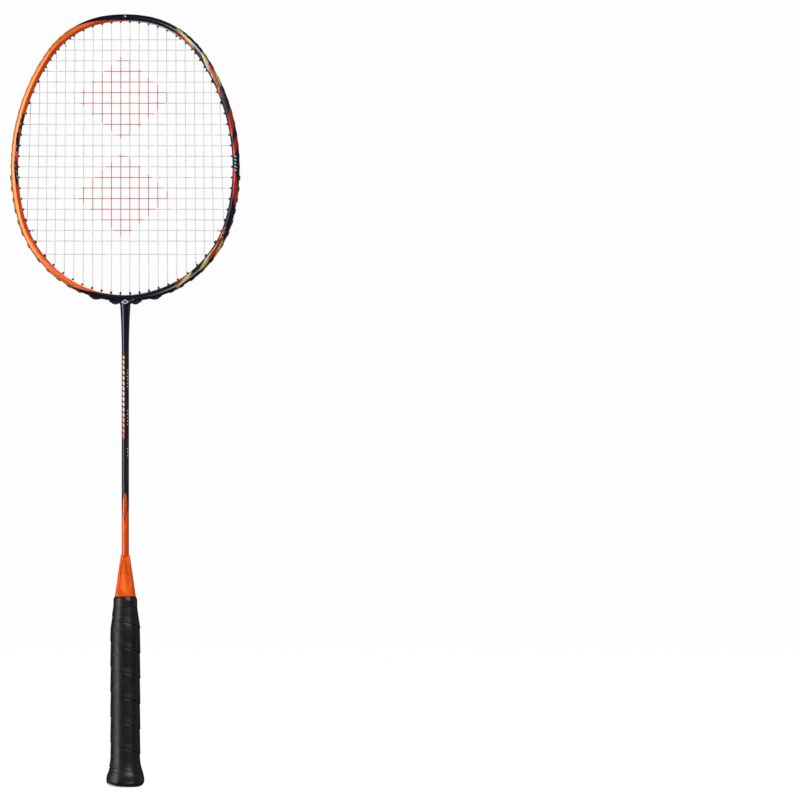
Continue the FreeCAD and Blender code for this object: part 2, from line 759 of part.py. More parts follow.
def grommet_nodes(frame):
    """Every grommet node: strips round the top and sides, singles below, domed twins at the throat."""
    nodes = {}
    top = holes_between("MT1", "MT5", LEFT) + holes_between("MT1", "MT5", RIGHT)
    nodes["grommet_strip_top"] = grommet_strip(top, THIN_FLANGE_TOP)
    for side, word in ((LEFT, "left"), (RIGHT, "right")):
        shoulder = holes_between("MT6", "C4", side)
        upper = holes_between("C5 MT10", "C13", side)
        lower = holes_between("C14", "C21 MB9", side)
        nodes["grommet_strip_shoulder_" + word] = grommet_strip(shoulder, THIN_FLANGE_TOP)
        nodes["grommet_strip_side_" + word] = grommet_strip(upper, THIN_FLANGE_TOP)
        nodes["grommet_strip_lower_" + word] = grommet_strip(lower, THICK_FLANGE_TOP)
        singles = [grommet_strip([hole], THICK_FLANGE_TOP) for hole in holes_between("MB8", "MB5", side)]
        nodes["single_grommets_" + word] = Part.makeCompound(singles)
        outer = twin_grommet(
            holes_between("MB4", "MB3", side), OUTER_DOME_RADIUS, OUTER_DOME_TOP, OUTER_TWIN_LEVEL, frame
        )
        inner = twin_grommet(
            holes_between("MB2", "MB1", side), INNER_DOME_RADIUS, INNER_DOME_TOP, INNER_TWIN_LEVEL, frame
        )
        nodes["throat_grommets_" + word] = Part.makeCompound([outer, inner])
    return nodes


def build():
    frame = head_frame()
    nodes = {
        "head_frame": frame,
        "t_joint": t_joint(),
        "shaft": shaft(),
        "cone_cap": cone_cap(),
        "handle_core": handle_core(),
        "grip_staple": grip_staple(),
        "grip_tape": grip_tape(),
        "grip_collar": grip_collar(),
        "butt_cap": butt_cap(),
        "butt_badge": butt_badge(),
        "main_string": main_string(),
        "cross_string": cross_string(),
        "main_knots": main_knots(),
        "cross_knots": cross_knots(),
    }
    nodes.update(grommet_nodes(frame))
    return nodes


def export(nodes):
    os.makedirs("parts", exist_ok=True)
    for name, shape in nodes.items():
        box = shape.BoundBox
        size = (box.XLength, box.YLength, box.ZLength)
        solids = len(shape.Solids)
        print("%-30s %d solid(s) valid %s  %.1f x %.1f x %.1f" % (name, solids, shape.isValid(), *size))
        shape.exportStep("parts/" + name + ".step")


export(build())
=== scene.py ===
import math

import bmesh
import bpy
import numpy as np
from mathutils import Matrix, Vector


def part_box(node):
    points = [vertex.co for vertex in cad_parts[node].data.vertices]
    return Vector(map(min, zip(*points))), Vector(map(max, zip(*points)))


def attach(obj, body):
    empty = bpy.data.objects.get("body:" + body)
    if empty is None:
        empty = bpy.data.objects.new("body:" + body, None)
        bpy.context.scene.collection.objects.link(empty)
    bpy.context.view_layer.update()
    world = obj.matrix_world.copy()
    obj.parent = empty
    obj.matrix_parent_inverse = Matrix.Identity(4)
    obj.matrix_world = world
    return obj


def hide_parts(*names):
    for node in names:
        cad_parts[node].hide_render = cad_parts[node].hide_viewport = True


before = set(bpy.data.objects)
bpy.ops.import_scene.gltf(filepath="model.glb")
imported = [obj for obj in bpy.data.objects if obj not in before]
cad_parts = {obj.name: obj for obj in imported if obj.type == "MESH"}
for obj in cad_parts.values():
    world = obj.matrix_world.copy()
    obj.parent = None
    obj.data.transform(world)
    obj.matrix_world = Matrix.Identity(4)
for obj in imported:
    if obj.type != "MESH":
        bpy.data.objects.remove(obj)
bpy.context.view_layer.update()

# Looks of a badminton racket around its CAD frame. Shapes are worked out in millimetres and scaled once.
# The racket stands on its butt: +Z up the shaft, the string bed in the XZ plane, the front towards -Y.

MM = 0.001
BODY = "root"
TURN = 2 * math.pi


def box_mm(node):
    """A CAD node's lowest and highest corners in millimetres."""
    low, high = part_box(node)
    return low / MM, high / MM


HEAD_LOW, HEAD_HIGH = box_mm("head_frame")
SHAFT_LOW, SHAFT_HIGH = box_mm("shaft")
TAPE_LOW, TAPE_HIGH = box_mm("grip_tape")
COLLAR_LOW, COLLAR_HIGH = box_mm("grip_collar")
CAP_LOW, CAP_HIGH = box_mm("butt_cap")
MAIN_LOW, MAIN_HIGH = box_mm("main_string")

# Hoop: its centre line is four tangent arcs a side, and its section a few corners rounded off
LENGTH = HEAD_HIGH.z
HOOP_HALF_WIDTH = 3.1
TOP_RADIUS = 116.1
SHOULDER_RADIUS = 73.5
THROAT_RADIUS = 94.2
TOP_SWEEP = math.radians(7.83)
SHOULDER_SWEEP = math.radians(47.85)
SIDE_SWEEP = math.radians(48.93)
HOOP_STEPS = 720
WELL_INSIDE = -50.0
HOOP_CORNERS = (
    (-3.1, 2.2, 0.7), (-2.2, 3.95, 0.7), (-0.7, 5.3, 0.75), (1.6, 4.25, 0.8), (3.1, 2.75, 0.3),
    (3.1, 2.25, 0.12), (1.5, 1.9, 0.12),
)

# Neck between shaft and hoop
NECK_BOTTOM = HEAD_LOW.z
NECK_HALF_WIDTH = 4.5
NECK_HALF_DEPTH = 5.0
FILLET_BOTTOM = NECK_BOTTOM + 39.0
FILLET_REACH = 9.0
FILLET_RISE = 4.3
NECK_WIDENING = 1.8
NECK_DEEPENING = 1.5
ROUND_SIDES = 96

# The crease softened where they meet: its half width, its depth, how far it reaches below the fillet, and how
# far short of the hoop's inner edge it stops
THROAT_HALF = 15.0
THROAT_DEPTH = 1.2
THROAT_BELOW = 3.0
THROAT_SHORT = 0.8
THROAT_PASSES = 14

# String bed
STRING_PLANE = (MAIN_LOW.y + MAIN_HIGH.y) / 2
FIRST_CROSS = LENGTH - 21.9
CROSS_PITCH = 9.28
LAST_CROSS = LENGTH - 209.9
CROSSES = 21
FIRST_MAIN = 4.0
MAIN_PITCH = 8.15
STRING_STEP = 1.5
LONGEST_STEP = 1.7
WEAVE_STARTS = 2.0
WEAVE_EASE = 6.0

# Handle: the octagon's depth and flats as shares of its width, and how round its corners are
OCTAGON_DEPTH = 0.92
OCTAGON_FLAT = 0.43
CORNER_ROUNDING = 0.09
HANDLE_SIDES = 160
WRAP_PITCH = 22.0
WRAP_SEAM = 17.7


# ---------------- mesh helpers


def corner_arc(before, corner, after, reach, steps):
    """A corner cut short and joined by a curve, as a quadratic through the two cuts."""
    start = corner + (before - corner) * (reach / np.linalg.norm(before - corner))
    end = corner + (after - corner) * (reach / np.linalg.norm(after - corner))
    shares = np.linspace(0.0, 1.0, steps + 1)
    return [(1 - t) ** 2 * start + 2 * t * (1 - t) * corner + t * t * end for t in shares]


def rounded_outline(corners, steps):
    """A closed outline of (x, y, reach) corners, each rounded."""
    places = [np.array(corner[:2], float) for corner in corners]
    points = []
    for i, corner in enumerate(places):
        after = places[(i + 1) % len(places)]
        points += corner_arc(places[i - 1], corner, after, corners[i][2], steps)
    return np.array(points)


def grid_faces(rows, columns, close_rows=False, close_columns=False):
    """Quads between neighbouring rows and columns of points."""
    faces = []
    for i in range(rows if close_rows else rows - 1):
        for j in range(columns if close_columns else columns - 1):
            a = i * columns + j
            b = i * columns + (j + 1) % columns
            c = ((i + 1) % rows) * columns + (j + 1) % columns
            d = ((i + 1) % rows) * columns + j
            faces.append((a, b, c, d))
    return faces


def ring(half_x, half_y, swing, height):
    """Points round the axis at angles from the front, at one height or a height for each."""
    heights = np.broadcast_to(height, swing.shape)
    return np.column_stack((half_x * np.sin(swing), -half_y * np.cos(swing), heights))


def end_faces(rings, sides):
    """The faces that close the first and last rings."""
    last = (rings - 1) * sides
    return [tuple(range(sides)), tuple(range(last + sides - 1, last - 1, -1))]


def new_mesh(name, points, faces):
    """A mesh from points in millimetres, its faces all turned outwards."""
    mesh = bpy.data.meshes.new(name)
    mesh.from_pydata((np.asarray(points, float) * MM).tolist(), [], faces)
    mesh.validate()
    bm = bmesh.new()
    bm.from_mesh(mesh)
    bmesh.ops.recalc_face_normals(bm, faces=bm.faces)
    bm.to_mesh(mesh)
    bm.free()
    return mesh


def add_object(name, mesh):
    obj = bpy.data.objects.new(name, mesh)
    bpy.context.scene.collection.objects.link(obj)
    return obj


def declare(obj, slot, material, *replaced, sharp=40.0):
    """Smooth shading, a material, a place under the racket's body, and the CAD nodes it replaces hidden."""
    mesh = obj.data
    mesh.polygons.foreach_set("use_smooth", [True] * len(mesh.polygons))
    mesh.set_sharp_from_angle(angle=math.radians(sharp))
    mesh.materials.clear()
    mesh.materials.append(material)
    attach(obj, BODY)
    if replaced:
        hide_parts(*replaced)
    return obj


def apply_modifiers(obj):
    """The object's mesh with its modifiers worked in."""
    graph = bpy.context.evaluated_depsgraph_get()
    made = bpy.data.meshes.new_from_object(obj.evaluated_get(graph))
    obj.modifiers.clear()
    old = obj.data
    obj.data = made
    bpy.data.meshes.remove(old)
    return obj


def places_of(mesh):
    """A mesh's vertices in millimetres, as rows of x, y and z."""
    places = np.empty(len(mesh.vertices) * 3)
    mesh.vertices.foreach_get("co", places)
    return places.reshape(-1, 3) / MM


def move_to(mesh, places):
    mesh.vertices.foreach_set("co", (places * MM).ravel())
    mesh.update()


def cad_copy(node, name):
    """A new object with a CAD node's shape, its split edges joined and its flat faces made whole."""
    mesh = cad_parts[node].data.copy()
    mesh.name = name
    bm = bmesh.new()
    bm.from_mesh(mesh)
    bmesh.ops.remove_doubles(bm, verts=bm.verts, dist=1e-6)
    bmesh.ops.dissolve_limit(bm, angle_limit=math.radians(0.5), verts=bm.verts, edges=bm.edges)
    bm.to_mesh(mesh)
    bm.free()
    return add_object(name, mesh)


# ---------------- hoop geometry


def hoop_arcs():
    """The right half's centre line as (centre x, centre z, radius, start angle, end angle, start length)."""
    angles = [0.0, TOP_SWEEP, TOP_SWEEP + SHOULDER_SWEEP, TOP_SWEEP + SHOULDER_SWEEP + SIDE_SWEEP, math.pi]
    across = THROAT_RADIUS * math.sin(angles[3]) - SHOULDER_RADIUS * math.sin(angles[2])
    across -= (TOP_RADIUS - SHOULDER_RADIUS) * math.sin(angles[1])
    side_radius = across / (math.sin(angles[3]) - math.sin(angles[2]))
    radii = (TOP_RADIUS, SHOULDER_RADIUS, side_radius, THROAT_RADIUS)
    x = 0.0
    z = LENGTH - HOOP_HALF_WIDTH - TOP_RADIUS
    length = 0.0
    arcs = []
    for i, radius in enumerate(radii):
        if i:
            x += (radii[i - 1] - radius) * math.sin(angles[i])
            z += (radii[i - 1] - radius) * math.cos(angles[i])
        arcs.append((x, z, radius, angles[i], angles[i + 1], length))
        length += radius * (angles[i + 1] - angles[i])
    return arcs, length


ARCS, HALF_LENGTH = hoop_arcs()
HOOP_BOTTOM = ARCS[-1][1] - THROAT_RADIUS - HOOP_HALF_WIDTH

# The neck's part of the UV layer starts beyond the hoop's, so no hoop pattern reaches it
NECK_RUN = HALF_LENGTH + 50.0
NECK_ACROSS = 20.0


def hoop_station(along):
    """Side, arc centre, radius and angle at a signed distance along the hoop from its top."""
    side = -1.0 if along < 0 else 1.0
    distance = abs(along)
    for x, z, radius, start, end, length in ARCS:
        turn = start + (distance - length) / radius
        if turn <= end:
            break
    return side, x, z, radius, turn


def hoop_out(x, z):
    """How far points lie outwards of the hoop's centre line; anything further in counts as WELL_INSIDE."""
    out = np.full(len(x), WELL_INSIDE)
    for cx, cz, radius, start, end, _ in ARCS:
        turn = np.arctan2(np.abs(x) - cx, z - cz)
        turn[turn < -1e-9] += TURN
        inside = (turn >= start - 0.01) & (turn <= end + 0.01)
        reach = np.hypot(np.abs(x) - cx, z - cz) - radius
        out[inside] = np.maximum(out[inside], reach[inside])
    return out


def hoop_mesh():
    """The hoop, with a UV layer: U the distance from the top in millimetres, V the share across."""
    front = [(out, -y, reach) for out, y, reach in HOOP_CORNERS]
    back = [(out, y, reach) for out, y, reach in reversed(HOOP_CORNERS)]
    section = rounded_outline(front + back, 6)
    along = np.linspace(-HALF_LENGTH, HALF_LENGTH, HOOP_STEPS + 1)
    points = []
    for distance in along[:-1]:
        side, x, z, radius, turn = hoop_station(distance)
        reach = radius + section[:, 0]
        xs = side * (x + reach * math.sin(turn))
        points.append(np.column_stack((xs, section[:, 1], z + reach * math.cos(turn))))
    columns = len(section)
    mesh = new_mesh("hoop", np.concatenate(points), grid_faces(HOOP_STEPS, columns, True, True))
    across = (section[:, 0] + HOOP_HALF_WIDTH) / (2 * HOOP_HALF_WIDTH)
    layer = mesh.uv_layers.new(name="Run")
    for face in mesh.polygons:
        rows = [mesh.loops[i].vertex_index // columns for i in face.loop_indices]
        wraps = max(rows) - min(rows) > 1
        for loop, row in zip(face.loop_indices, rows):
            station = HOOP_STEPS if wraps and row == 0 else row
            column = mesh.loops[loop].vertex_index % columns
            layer.data[loop].uv = (along[station], across[column])
    return mesh


def neck_mesh():
    """The neck: the shaft's round growing slowly, then a quarter-ellipse fillet up into the hoop."""
    sections = []
    shaft_radius = SHAFT_HIGH.x
    for grown in np.linspace(0.0, 1.0, 30)[:-1]:
        half_x = shaft_radius + (NECK_HALF_WIDTH - shaft_radius) * grown**NECK_WIDENING
        half_y = shaft_radius + (NECK_HALF_DEPTH - shaft_radius) * grown**NECK_DEEPENING
        sections.append((half_x, half_y, NECK_BOTTOM + (FILLET_BOTTOM - NECK_BOTTOM) * grown))
    for swing in np.linspace(0.0, math.pi / 2, 25):
        half_x = NECK_HALF_WIDTH + FILLET_REACH * (1 - math.cos(swing))
        sections.append((half_x, NECK_HALF_DEPTH, FILLET_BOTTOM + FILLET_RISE * math.sin(swing)))
    sections.append((NECK_HALF_WIDTH + FILLET_REACH, NECK_HALF_DEPTH, HOOP_BOTTOM + HOOP_HALF_WIDTH))
    swing = np.arange(ROUND_SIDES) * TURN / ROUND_SIDES
    points = [ring(half_x, half_y, swing, height) for half_x, half_y, height in sections]
    faces = grid_faces(len(sections), ROUND_SIDES, close_columns=True) + end_faces(len(sections), ROUND_SIDES)
    mesh = new_mesh("neck", np.concatenate(points), faces)
    layer = mesh.uv_layers.new(name="Run")
    for loop in mesh.loops:
        place = mesh.vertices[loop.vertex_index].co / MM
        layer.data[loop.index].uv = (NECK_RUN + place.z - NECK_BOTTOM, 0.5 + place.x / NECK_ACROSS)
    return mesh


def soften_throat(mesh):
    """Rounds the crease where the neck meets the hoop, front and back."""
    bm = bmesh.new()
    bm.from_mesh(mesh)
    crease = [
        vert for vert in bm.verts
        if abs(vert.co.x / MM) < THROAT_HALF and abs(vert.co.y / MM) > THROAT_DEPTH
        and FILLET_BOTTOM - THROAT_BELOW < vert.co.z / MM < HOOP_BOTTOM + 2 * HOOP_HALF_WIDTH - THROAT_SHORT
    ]
    touched = {face for vert in crease for face in vert.link_faces}
    bmesh.ops.triangulate(bm, faces=list(touched))
    for _ in range(THROAT_PASSES):
        bmesh.ops.smooth_vert(bm, verts=crease, factor=0.5, use_axis_x=True, use_axis_y=True, use_axis_z=True)
    bm.to_mesh(mesh)
    bm.free()


def head_piece(material):
    """The hoop and its neck, joined into one moulding."""
    head = add_object("head_paintwork", hoop_mesh())
    neck = add_object("neck_tool", neck_mesh())
    join = head.modifiers.new("join", "BOOLEAN")
    join.operation = "UNION"
    join.solver = "EXACT"
    join.object = neck
    apply_modifiers(head)
    bpy.data.objects.remove(neck)
    if len(head.data.polygons) < HOOP_STEPS:
        raise RuntimeError("the hoop and its neck did not join")
    soften_throat(head.data)
    return declare(head, "head_paint", material, "head_frame", sharp=32.0)


# ---------------- string bed


def tube_quads(bm):
    """Joins a tube's triangle pairs and cuts its long runs into short steps."""
    bmesh.ops.remove_doubles(bm, verts=bm.verts, dist=1e-6)
    bmesh.ops.join_triangles(
        bm, faces=bm.faces, angle_face_threshold=math.radians(4), angle_shape_threshold=math.radians(180)
    )
    while True:
        long_edges = [edge for edge in bm.edges if edge.calc_length() > LONGEST_STEP * STRING_STEP * MM]
        if not long_edges:
            break
        bmesh.ops.subdivide_edges(bm, edges=long_edges, cuts=1, use_grid_fill=True)


def weave(x, z, along_mains):
    """How far forwards or back the string at a place stands in the weave, from -1 to 1."""
    heights = [FIRST_CROSS - CROSS_PITCH * i for i in range(CROSSES - 1)] + [LAST_CROSS]
    cross_number = np.interp(-z, [-height for height in heights], np.arange(CROSSES))
    main_number = np.sign(x) * ((np.abs(x) - FIRST_MAIN) / MAIN_PITCH + 0.5) - 0.5
    if along_mains:
        main_number = np.round(main_number)
    else:
        cross_number = np.round(cross_number)
    return np.cos(math.pi * main_number) * np.cos(math.pi * cross_number)


def string_piece(node, name, along_mains, material):
    """The CAD string, bent over and under the strings that it crosses."""
    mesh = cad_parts[node].data.copy()
    mesh.name = name
    bm = bmesh.new()
    bm.from_mesh(mesh)
    tube_quads(bm)
    bm.to_mesh(mesh)
    bm.free()
    places = places_of(mesh)
    x, _, z = places.T
    inside = np.clip((-HOOP_HALF_WIDTH - WEAVE_STARTS - hoop_out(x, z)) / WEAVE_EASE, 0.0, 1.0)
    share = inside * inside * (3 - 2 * inside)
    plane = STRING_PLANE if along_mains else -STRING_PLANE
    target = plane * weave(x, z, along_mains)
    places[:, 1] += share * (target - plane)
    move_to(mesh, places)
    return declare(add_object(name, mesh), "string_nylon", material, node, sharp=60.0)


# ---------------- handle geometry


def octagon_radius(swing):
    """Distance from the axis to a unit octagon's outline (half width 1), its corners softened."""
    flat = OCTAGON_FLAT
    depth = OCTAGON_DEPTH
    x = np.sin(swing)
    y = -np.cos(swing)
    slant = math.hypot(depth * (1 - flat), 1 - flat)
    sides = (
        np.abs(x), np.abs(y) / depth,
        (depth * (1 - flat) * np.abs(x) + (1 - flat) * np.abs(y)) / (depth * (1 - flat * flat)),
    )
    power = 1 / CORNER_ROUNDING * slant
    total = sum(side**power for side in sides)
    return total ** (-1 / power)


def handle_ring(half_width, height):
    """One level ring of the handle's octagon."""
    swing = np.arange(HANDLE_SIDES) * TURN / HANDLE_SIDES
    reach = half_width * octagon_radius(swing)
    return ring(reach, reach, swing, height)


def ringed_piece(name, rings):
    """A closed piece with one skin over its rings."""
    faces = grid_faces(len(rings), HANDLE_SIDES, close_columns=True) + end_faces(len(rings), HANDLE_SIDES)
    return add_object(name, new_mesh(name, np.concatenate(rings), faces))


CAP_FOOT_SHARE = 0.54
CAP_TOP_SHARE = 0.87
CAP_WIDEST_SHARE = 0.45
CAP_ROUNDNESS = 2.3
CAP_SKIRT = 4.8
CAP_WITHIN = 0.05
CAP_TUCK = 0.9
CAP_RIM = 2.4
FLARE_TOP = 27.0
TAPER_BOTTOM = 138.0
GRIP_WIDTH = 26.3
GRIP_TOP_WIDTH = 21.3
FLARE_LIMIT = 1.15


def grip_width(height):
    """Width of the wrapped grip: a curved flare at its foot, a straight hold and a taper at its top."""
    foot = 2 * TAPE_HIGH.x - GRIP_WIDTH
    flare = np.clip((FLARE_TOP - height) / (FLARE_TOP - TAPE_LOW.z), 0.0, None)
    taper = np.clip((height - TAPER_BOTTOM) / (TAPE_HIGH.z - TAPER_BOTTOM), 0.0, 1.0)
    return GRIP_WIDTH + foot * np.minimum(flare, FLARE_LIMIT) ** 2 - (GRIP_WIDTH - GRIP_TOP_WIDTH) * taper


def cap_rings():
    """The cap's rings: a rounded foot, its widest place, then a skirt that runs up under the tape."""
    widest = CAP_HIGH.x - CAP_WITHIN
    height = (CAP_HIGH.z - CAP_LOW.z) * CAP_WIDEST_SHARE
    sections = []
    for swing in np.linspace(0.0, math.pi / 2, 34):
        rounded = (1 - math.cos(swing) ** CAP_ROUNDNESS) ** (1 / CAP_ROUNDNESS)
        share = CAP_FOOT_SHARE + (1 - CAP_FOOT_SHARE) * rounded
        sections.append((height * (1 - math.cos(swing)), widest * share))
    top = CAP_HIGH.z - CAP_LOW.z
    for share in np.linspace(0.0, 1.0, 30)[1:]:
        sections.append((height + (top - height) * share, widest * (1 - (1 - CAP_TOP_SHARE) * share**2)))
    for share in np.linspace(0.0, 1.0, 8)[1:]:
        rise = top + CAP_SKIRT * share
        sections.append((rise, min(widest * CAP_TOP_SHARE, grip_width(rise) / 2 - CAP_TUCK * share)))
    sections.append((top + CAP_SKIRT, grip_width(top + CAP_SKIRT) / 2 - CAP_RIM))
    return [handle_ring(half, CAP_LOW.z + rise) for rise, half in sections]


def cap_piece(material):
    cap = ringed_piece("butt_cap_moulding", cap_rings())
    return declare(cap, "butt_plastic", material, "butt_cap", sharp=50.0)


# Collar: sizes in millimetres, and places as shares of its height
COLLAR_WITHIN = 0.02
COLLAR_TAPER = 0.35
COLLAR_BEAD = 0.15
COLLAR_BEAD_PLACE = 0.64
COLLAR_BEAD_SPREAD = 0.05
COLLAR_SHOULDER = 1.2
COLLAR_SHOULDER_PLACE = 0.66
COLLAR_SHOULDER_SPREAD = 0.34
COLLAR_ROLL = 0.2
COLLAR_ROLL_SPREAD = 0.04
COLLAR_FOOT_RIM = 1.1
COLLAR_TOP_RIM = 2.2


def collar_rings():
    """The collar's rings: a slight taper, a bead below its shoulder, and a rounded top edge."""
    foot = COLLAR_HIGH.x - COLLAR_WITHIN
    height = COLLAR_HIGH.z - COLLAR_LOW.z
    sections = [(0.0, foot - COLLAR_FOOT_RIM)]
    for share in np.linspace(0.0, 1.0, 70):
        bead = COLLAR_BEAD * math.exp(-(((share - COLLAR_BEAD_PLACE) / COLLAR_BEAD_SPREAD) ** 2))
        rounded = COLLAR_SHOULDER * max(share - COLLAR_SHOULDER_PLACE, 0.0) ** 2 / COLLAR_SHOULDER_SPREAD**2
        rolled_foot = COLLAR_ROLL * max(1 - share / COLLAR_ROLL_SPREAD, 0.0) ** 2
        sections.append((height * share, foot - COLLAR_TAPER * share + bead - rounded - rolled_foot))
    sections.append((height, foot - COLLAR_TOP_RIM))
    return [handle_ring(half, COLLAR_LOW.z + rise) for rise, half in sections]


def collar_piece(material):
    collar = ringed_piece("grip_collar_band", collar_rings())
    return declare(collar, "collar_rubber", material, "grip_collar", sharp=50.0)


# Tape: one strip, ribbed along its lower edge, with outlined diamonds along its middle
TAPE_THICKNESS = 1.5
TAPE_SINK = 0.3
TAPE_EDGE = 0.35
TAPE_FOOT = 14.4
TAPE_FOOT_TILT = 3.5
LAP_STEP = 0.45
LAP_DIP = 0.35
RIB_FIRST = 0.9
RIB_LAST = 5.2
RIB_PITCH = 0.86
RIB_HEIGHT = 0.09
RIB_BASE = 0.6
MARK_HEIGHT = 0.12
MARK_MIDDLE = 13.0
MARK_HALF = (4.6, 3.4)
MARK_HOLLOW = 0.38
MARK_STEEPNESS = 6
MARKS_A_TURN = 4
GRIP_GIRTH = 82.0
WRAP_START = 1.5 * math.pi
WRAP_SIDES = 150
SPARE_TURNS = 2.2


def wrap_relief(rise, round_share):
    """How far the tape's face stands out at a height above its own lower edge, round the handle."""
    edge = np.clip(rise / TAPE_EDGE, 0.0, 1.0)
    rounded = np.sqrt(np.clip(edge * (2 - edge), 0.0, 1.0))
    relief = LAP_STEP * (rounded - np.clip(rise / WRAP_PITCH, 0.0, 1.0))
    relief = relief - LAP_DIP * np.exp(-((rise - WRAP_PITCH) ** 2))
    ribbed = (rise > RIB_FIRST) & (rise < RIB_LAST)
    ribs = 0.5 - 0.5 * np.cos(TURN * (rise - RIB_FIRST) / RIB_PITCH)
    relief = relief + np.where(ribbed, RIB_HEIGHT * (ribs - RIB_BASE), 0.0)
    offset = (round_share * MARKS_A_TURN) % 1.0 - 0.5
    across = offset * GRIP_GIRTH / MARKS_A_TURN
    upwards = rise - MARK_MIDDLE
    inside = 1 - np.abs(across) / MARK_HALF[0] - np.abs(upwards) / MARK_HALF[1]
    ridge = np.clip(inside * MARK_STEEPNESS, 0, 1) - np.clip((inside - MARK_HOLLOW) * MARK_STEEPNESS, 0, 1)
    return relief + MARK_HEIGHT * ridge


def tape_lower_edge(swing):
    """The tape's lowest edge: it rises to the left and falls to the right."""
    return TAPE_FOOT + TAPE_FOOT_TILT * np.cos(swing - WRAP_START)


def tape_piece(material):
    """The grip tape wound up the handle: one strip whose every turn laps over the one below."""
    # Rows of points up the strip: close together over its edge, ribs, marks and lap, and wider apart between
    rises = np.concatenate((
        (0.0, 0.06, 0.14, 0.24, 0.36, 0.6), np.arange(RIB_FIRST, RIB_LAST, RIB_PITCH / 5),
        np.arange(5.6, 9.0, 0.8), np.arange(9.4, 16.8, 0.42), np.arange(17.4, 20.4, 1.0),
        np.arange(20.4, WRAP_PITCH + 1.4, 0.4),
    ))
    turns = (TAPE_HIGH.z - TAPE_LOW.z) / WRAP_PITCH + SPARE_TURNS
    columns = int(turns * WRAP_SIDES)
    step = np.arange(columns + 1)
    wound = step / WRAP_SIDES
    swing = WRAP_START + TURN * wound
    first_edge = WRAP_SEAM + WRAP_PITCH * math.ceil((TAPE_HIGH.z - WRAP_SEAM) / WRAP_PITCH)
    lowest = first_edge - WRAP_PITCH * wound
    rows = []
    for rise in rises:
        height = np.clip(lowest + rise, tape_lower_edge(swing), TAPE_HIGH.z)
        relief = wrap_relief(np.full(len(step), rise), wound % 1.0)
        half = grip_width(height) / 2
        reach = half * octagon_radius(swing) + relief - TAPE_SINK
        rows.append((reach, height))
    inner = [(reach - TAPE_THICKNESS, height) for reach, height in (rows[-1], rows[0])]
    points = [ring(reach, reach, swing, height) for reach, height in rows + inner]
    count = len(points)
    faces = grid_faces(count, columns + 1, close_rows=True)
    for end in (0, columns):
        faces.append(tuple(row * (columns + 1) + end for row in range(count)))
    tape = add_object("grip_wrap", new_mesh("grip_wrap", np.concatenate(points), faces))
    bm = bmesh.new()
    bm.from_mesh(tape.data)
    bmesh.ops.remove_doubles(bm, verts=bm.verts, dist=1e-6)
    bmesh.ops.dissolve_degenerate(bm, edges=bm.edges, dist=1e-6)
    bm.to_mesh(tape.data)
    bm.free()
    return declare(tape, "grip_polyurethane", material, "grip_tape", sharp=50.0)


CONE_EDGE = 0.5
CONE_EDGE_ANGLE = math.radians(24)


def cone_piece(material):
    """The cone with its edges rounded off."""
    cone = cad_copy("cone_cap", "cone_moulding")
    bevel = cone.modifiers.new("edges", "BEVEL")
    bevel.width = CONE_EDGE * MM
    bevel.segments = 4
    bevel.limit_method = "ANGLE"
    bevel.angle_limit = CONE_EDGE_ANGLE
    bevel.harden_normals = True
    apply_modifiers(cone)
    return declare(cone, "cone_paint", material, "cone_cap", sharp=30.0)


# Grommets: the share kept of a cheek's height, and of what stands past the first millimetre of an inner tip
CHEEK_EASE = 0.6
TIP_KEPT = 1.0
TIP_EASE = 0.5
SLOPE_STEP = 0.01


def grommet_piece(node, material):
    """Grommets whose cheeks and long inner tips are moulded closer to the hoop."""
    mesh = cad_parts[node].data.copy()
    places = places_of(mesh)
    x, _, z = places.T
    slope_x = (hoop_out(x + SLOPE_STEP, z) - hoop_out(x - SLOPE_STEP, z)) / (2 * SLOPE_STEP)
    slope_z = (hoop_out(x, z + SLOPE_STEP) - hoop_out(x, z - SLOPE_STEP)) / (2 * SLOPE_STEP)
    out = hoop_out(x, z)
    rise = np.maximum(out - HOOP_HALF_WIDTH, 0.0)
    tip = np.maximum(-out - HOOP_HALF_WIDTH - TIP_KEPT, 0.0)
    shift = tip * (1 - TIP_EASE) - rise * (1 - CHEEK_EASE)
    places[:, 0] += slope_x * shift
    places[:, 2] += slope_z * shift
    move_to(mesh, places)
    return declare(add_object(node + "_moulding", mesh), "grommet_nylon", material, node, sharp=35.0)


SHAFT_WALL = 1.0


def shaft_piece(material):
    """The tube of the shaft, round and smooth, open at both ends."""
    swing = np.arange(ROUND_SIDES) * TURN / ROUND_SIDES
    heights = np.linspace(SHAFT_LOW.z, SHAFT_HIGH.z, 41)
    bore = SHAFT_HIGH.x - SHAFT_WALL
    rings = [(SHAFT_HIGH.x, height) for height in heights] + [(bore, height) for height in heights[::-1]]
    points = [ring(radius, radius, swing, height) for radius, height in rings]
    faces = grid_faces(len(rings), ROUND_SIDES, close_rows=True, close_columns=True)
    tube = add_object("shaft_paintwork", new_mesh("shaft_paintwork", np.concatenate(points), faces))
    return declare(tube, "shaft_paint", material, "shaft", sharp=40.0)


# ---------------- material helpers


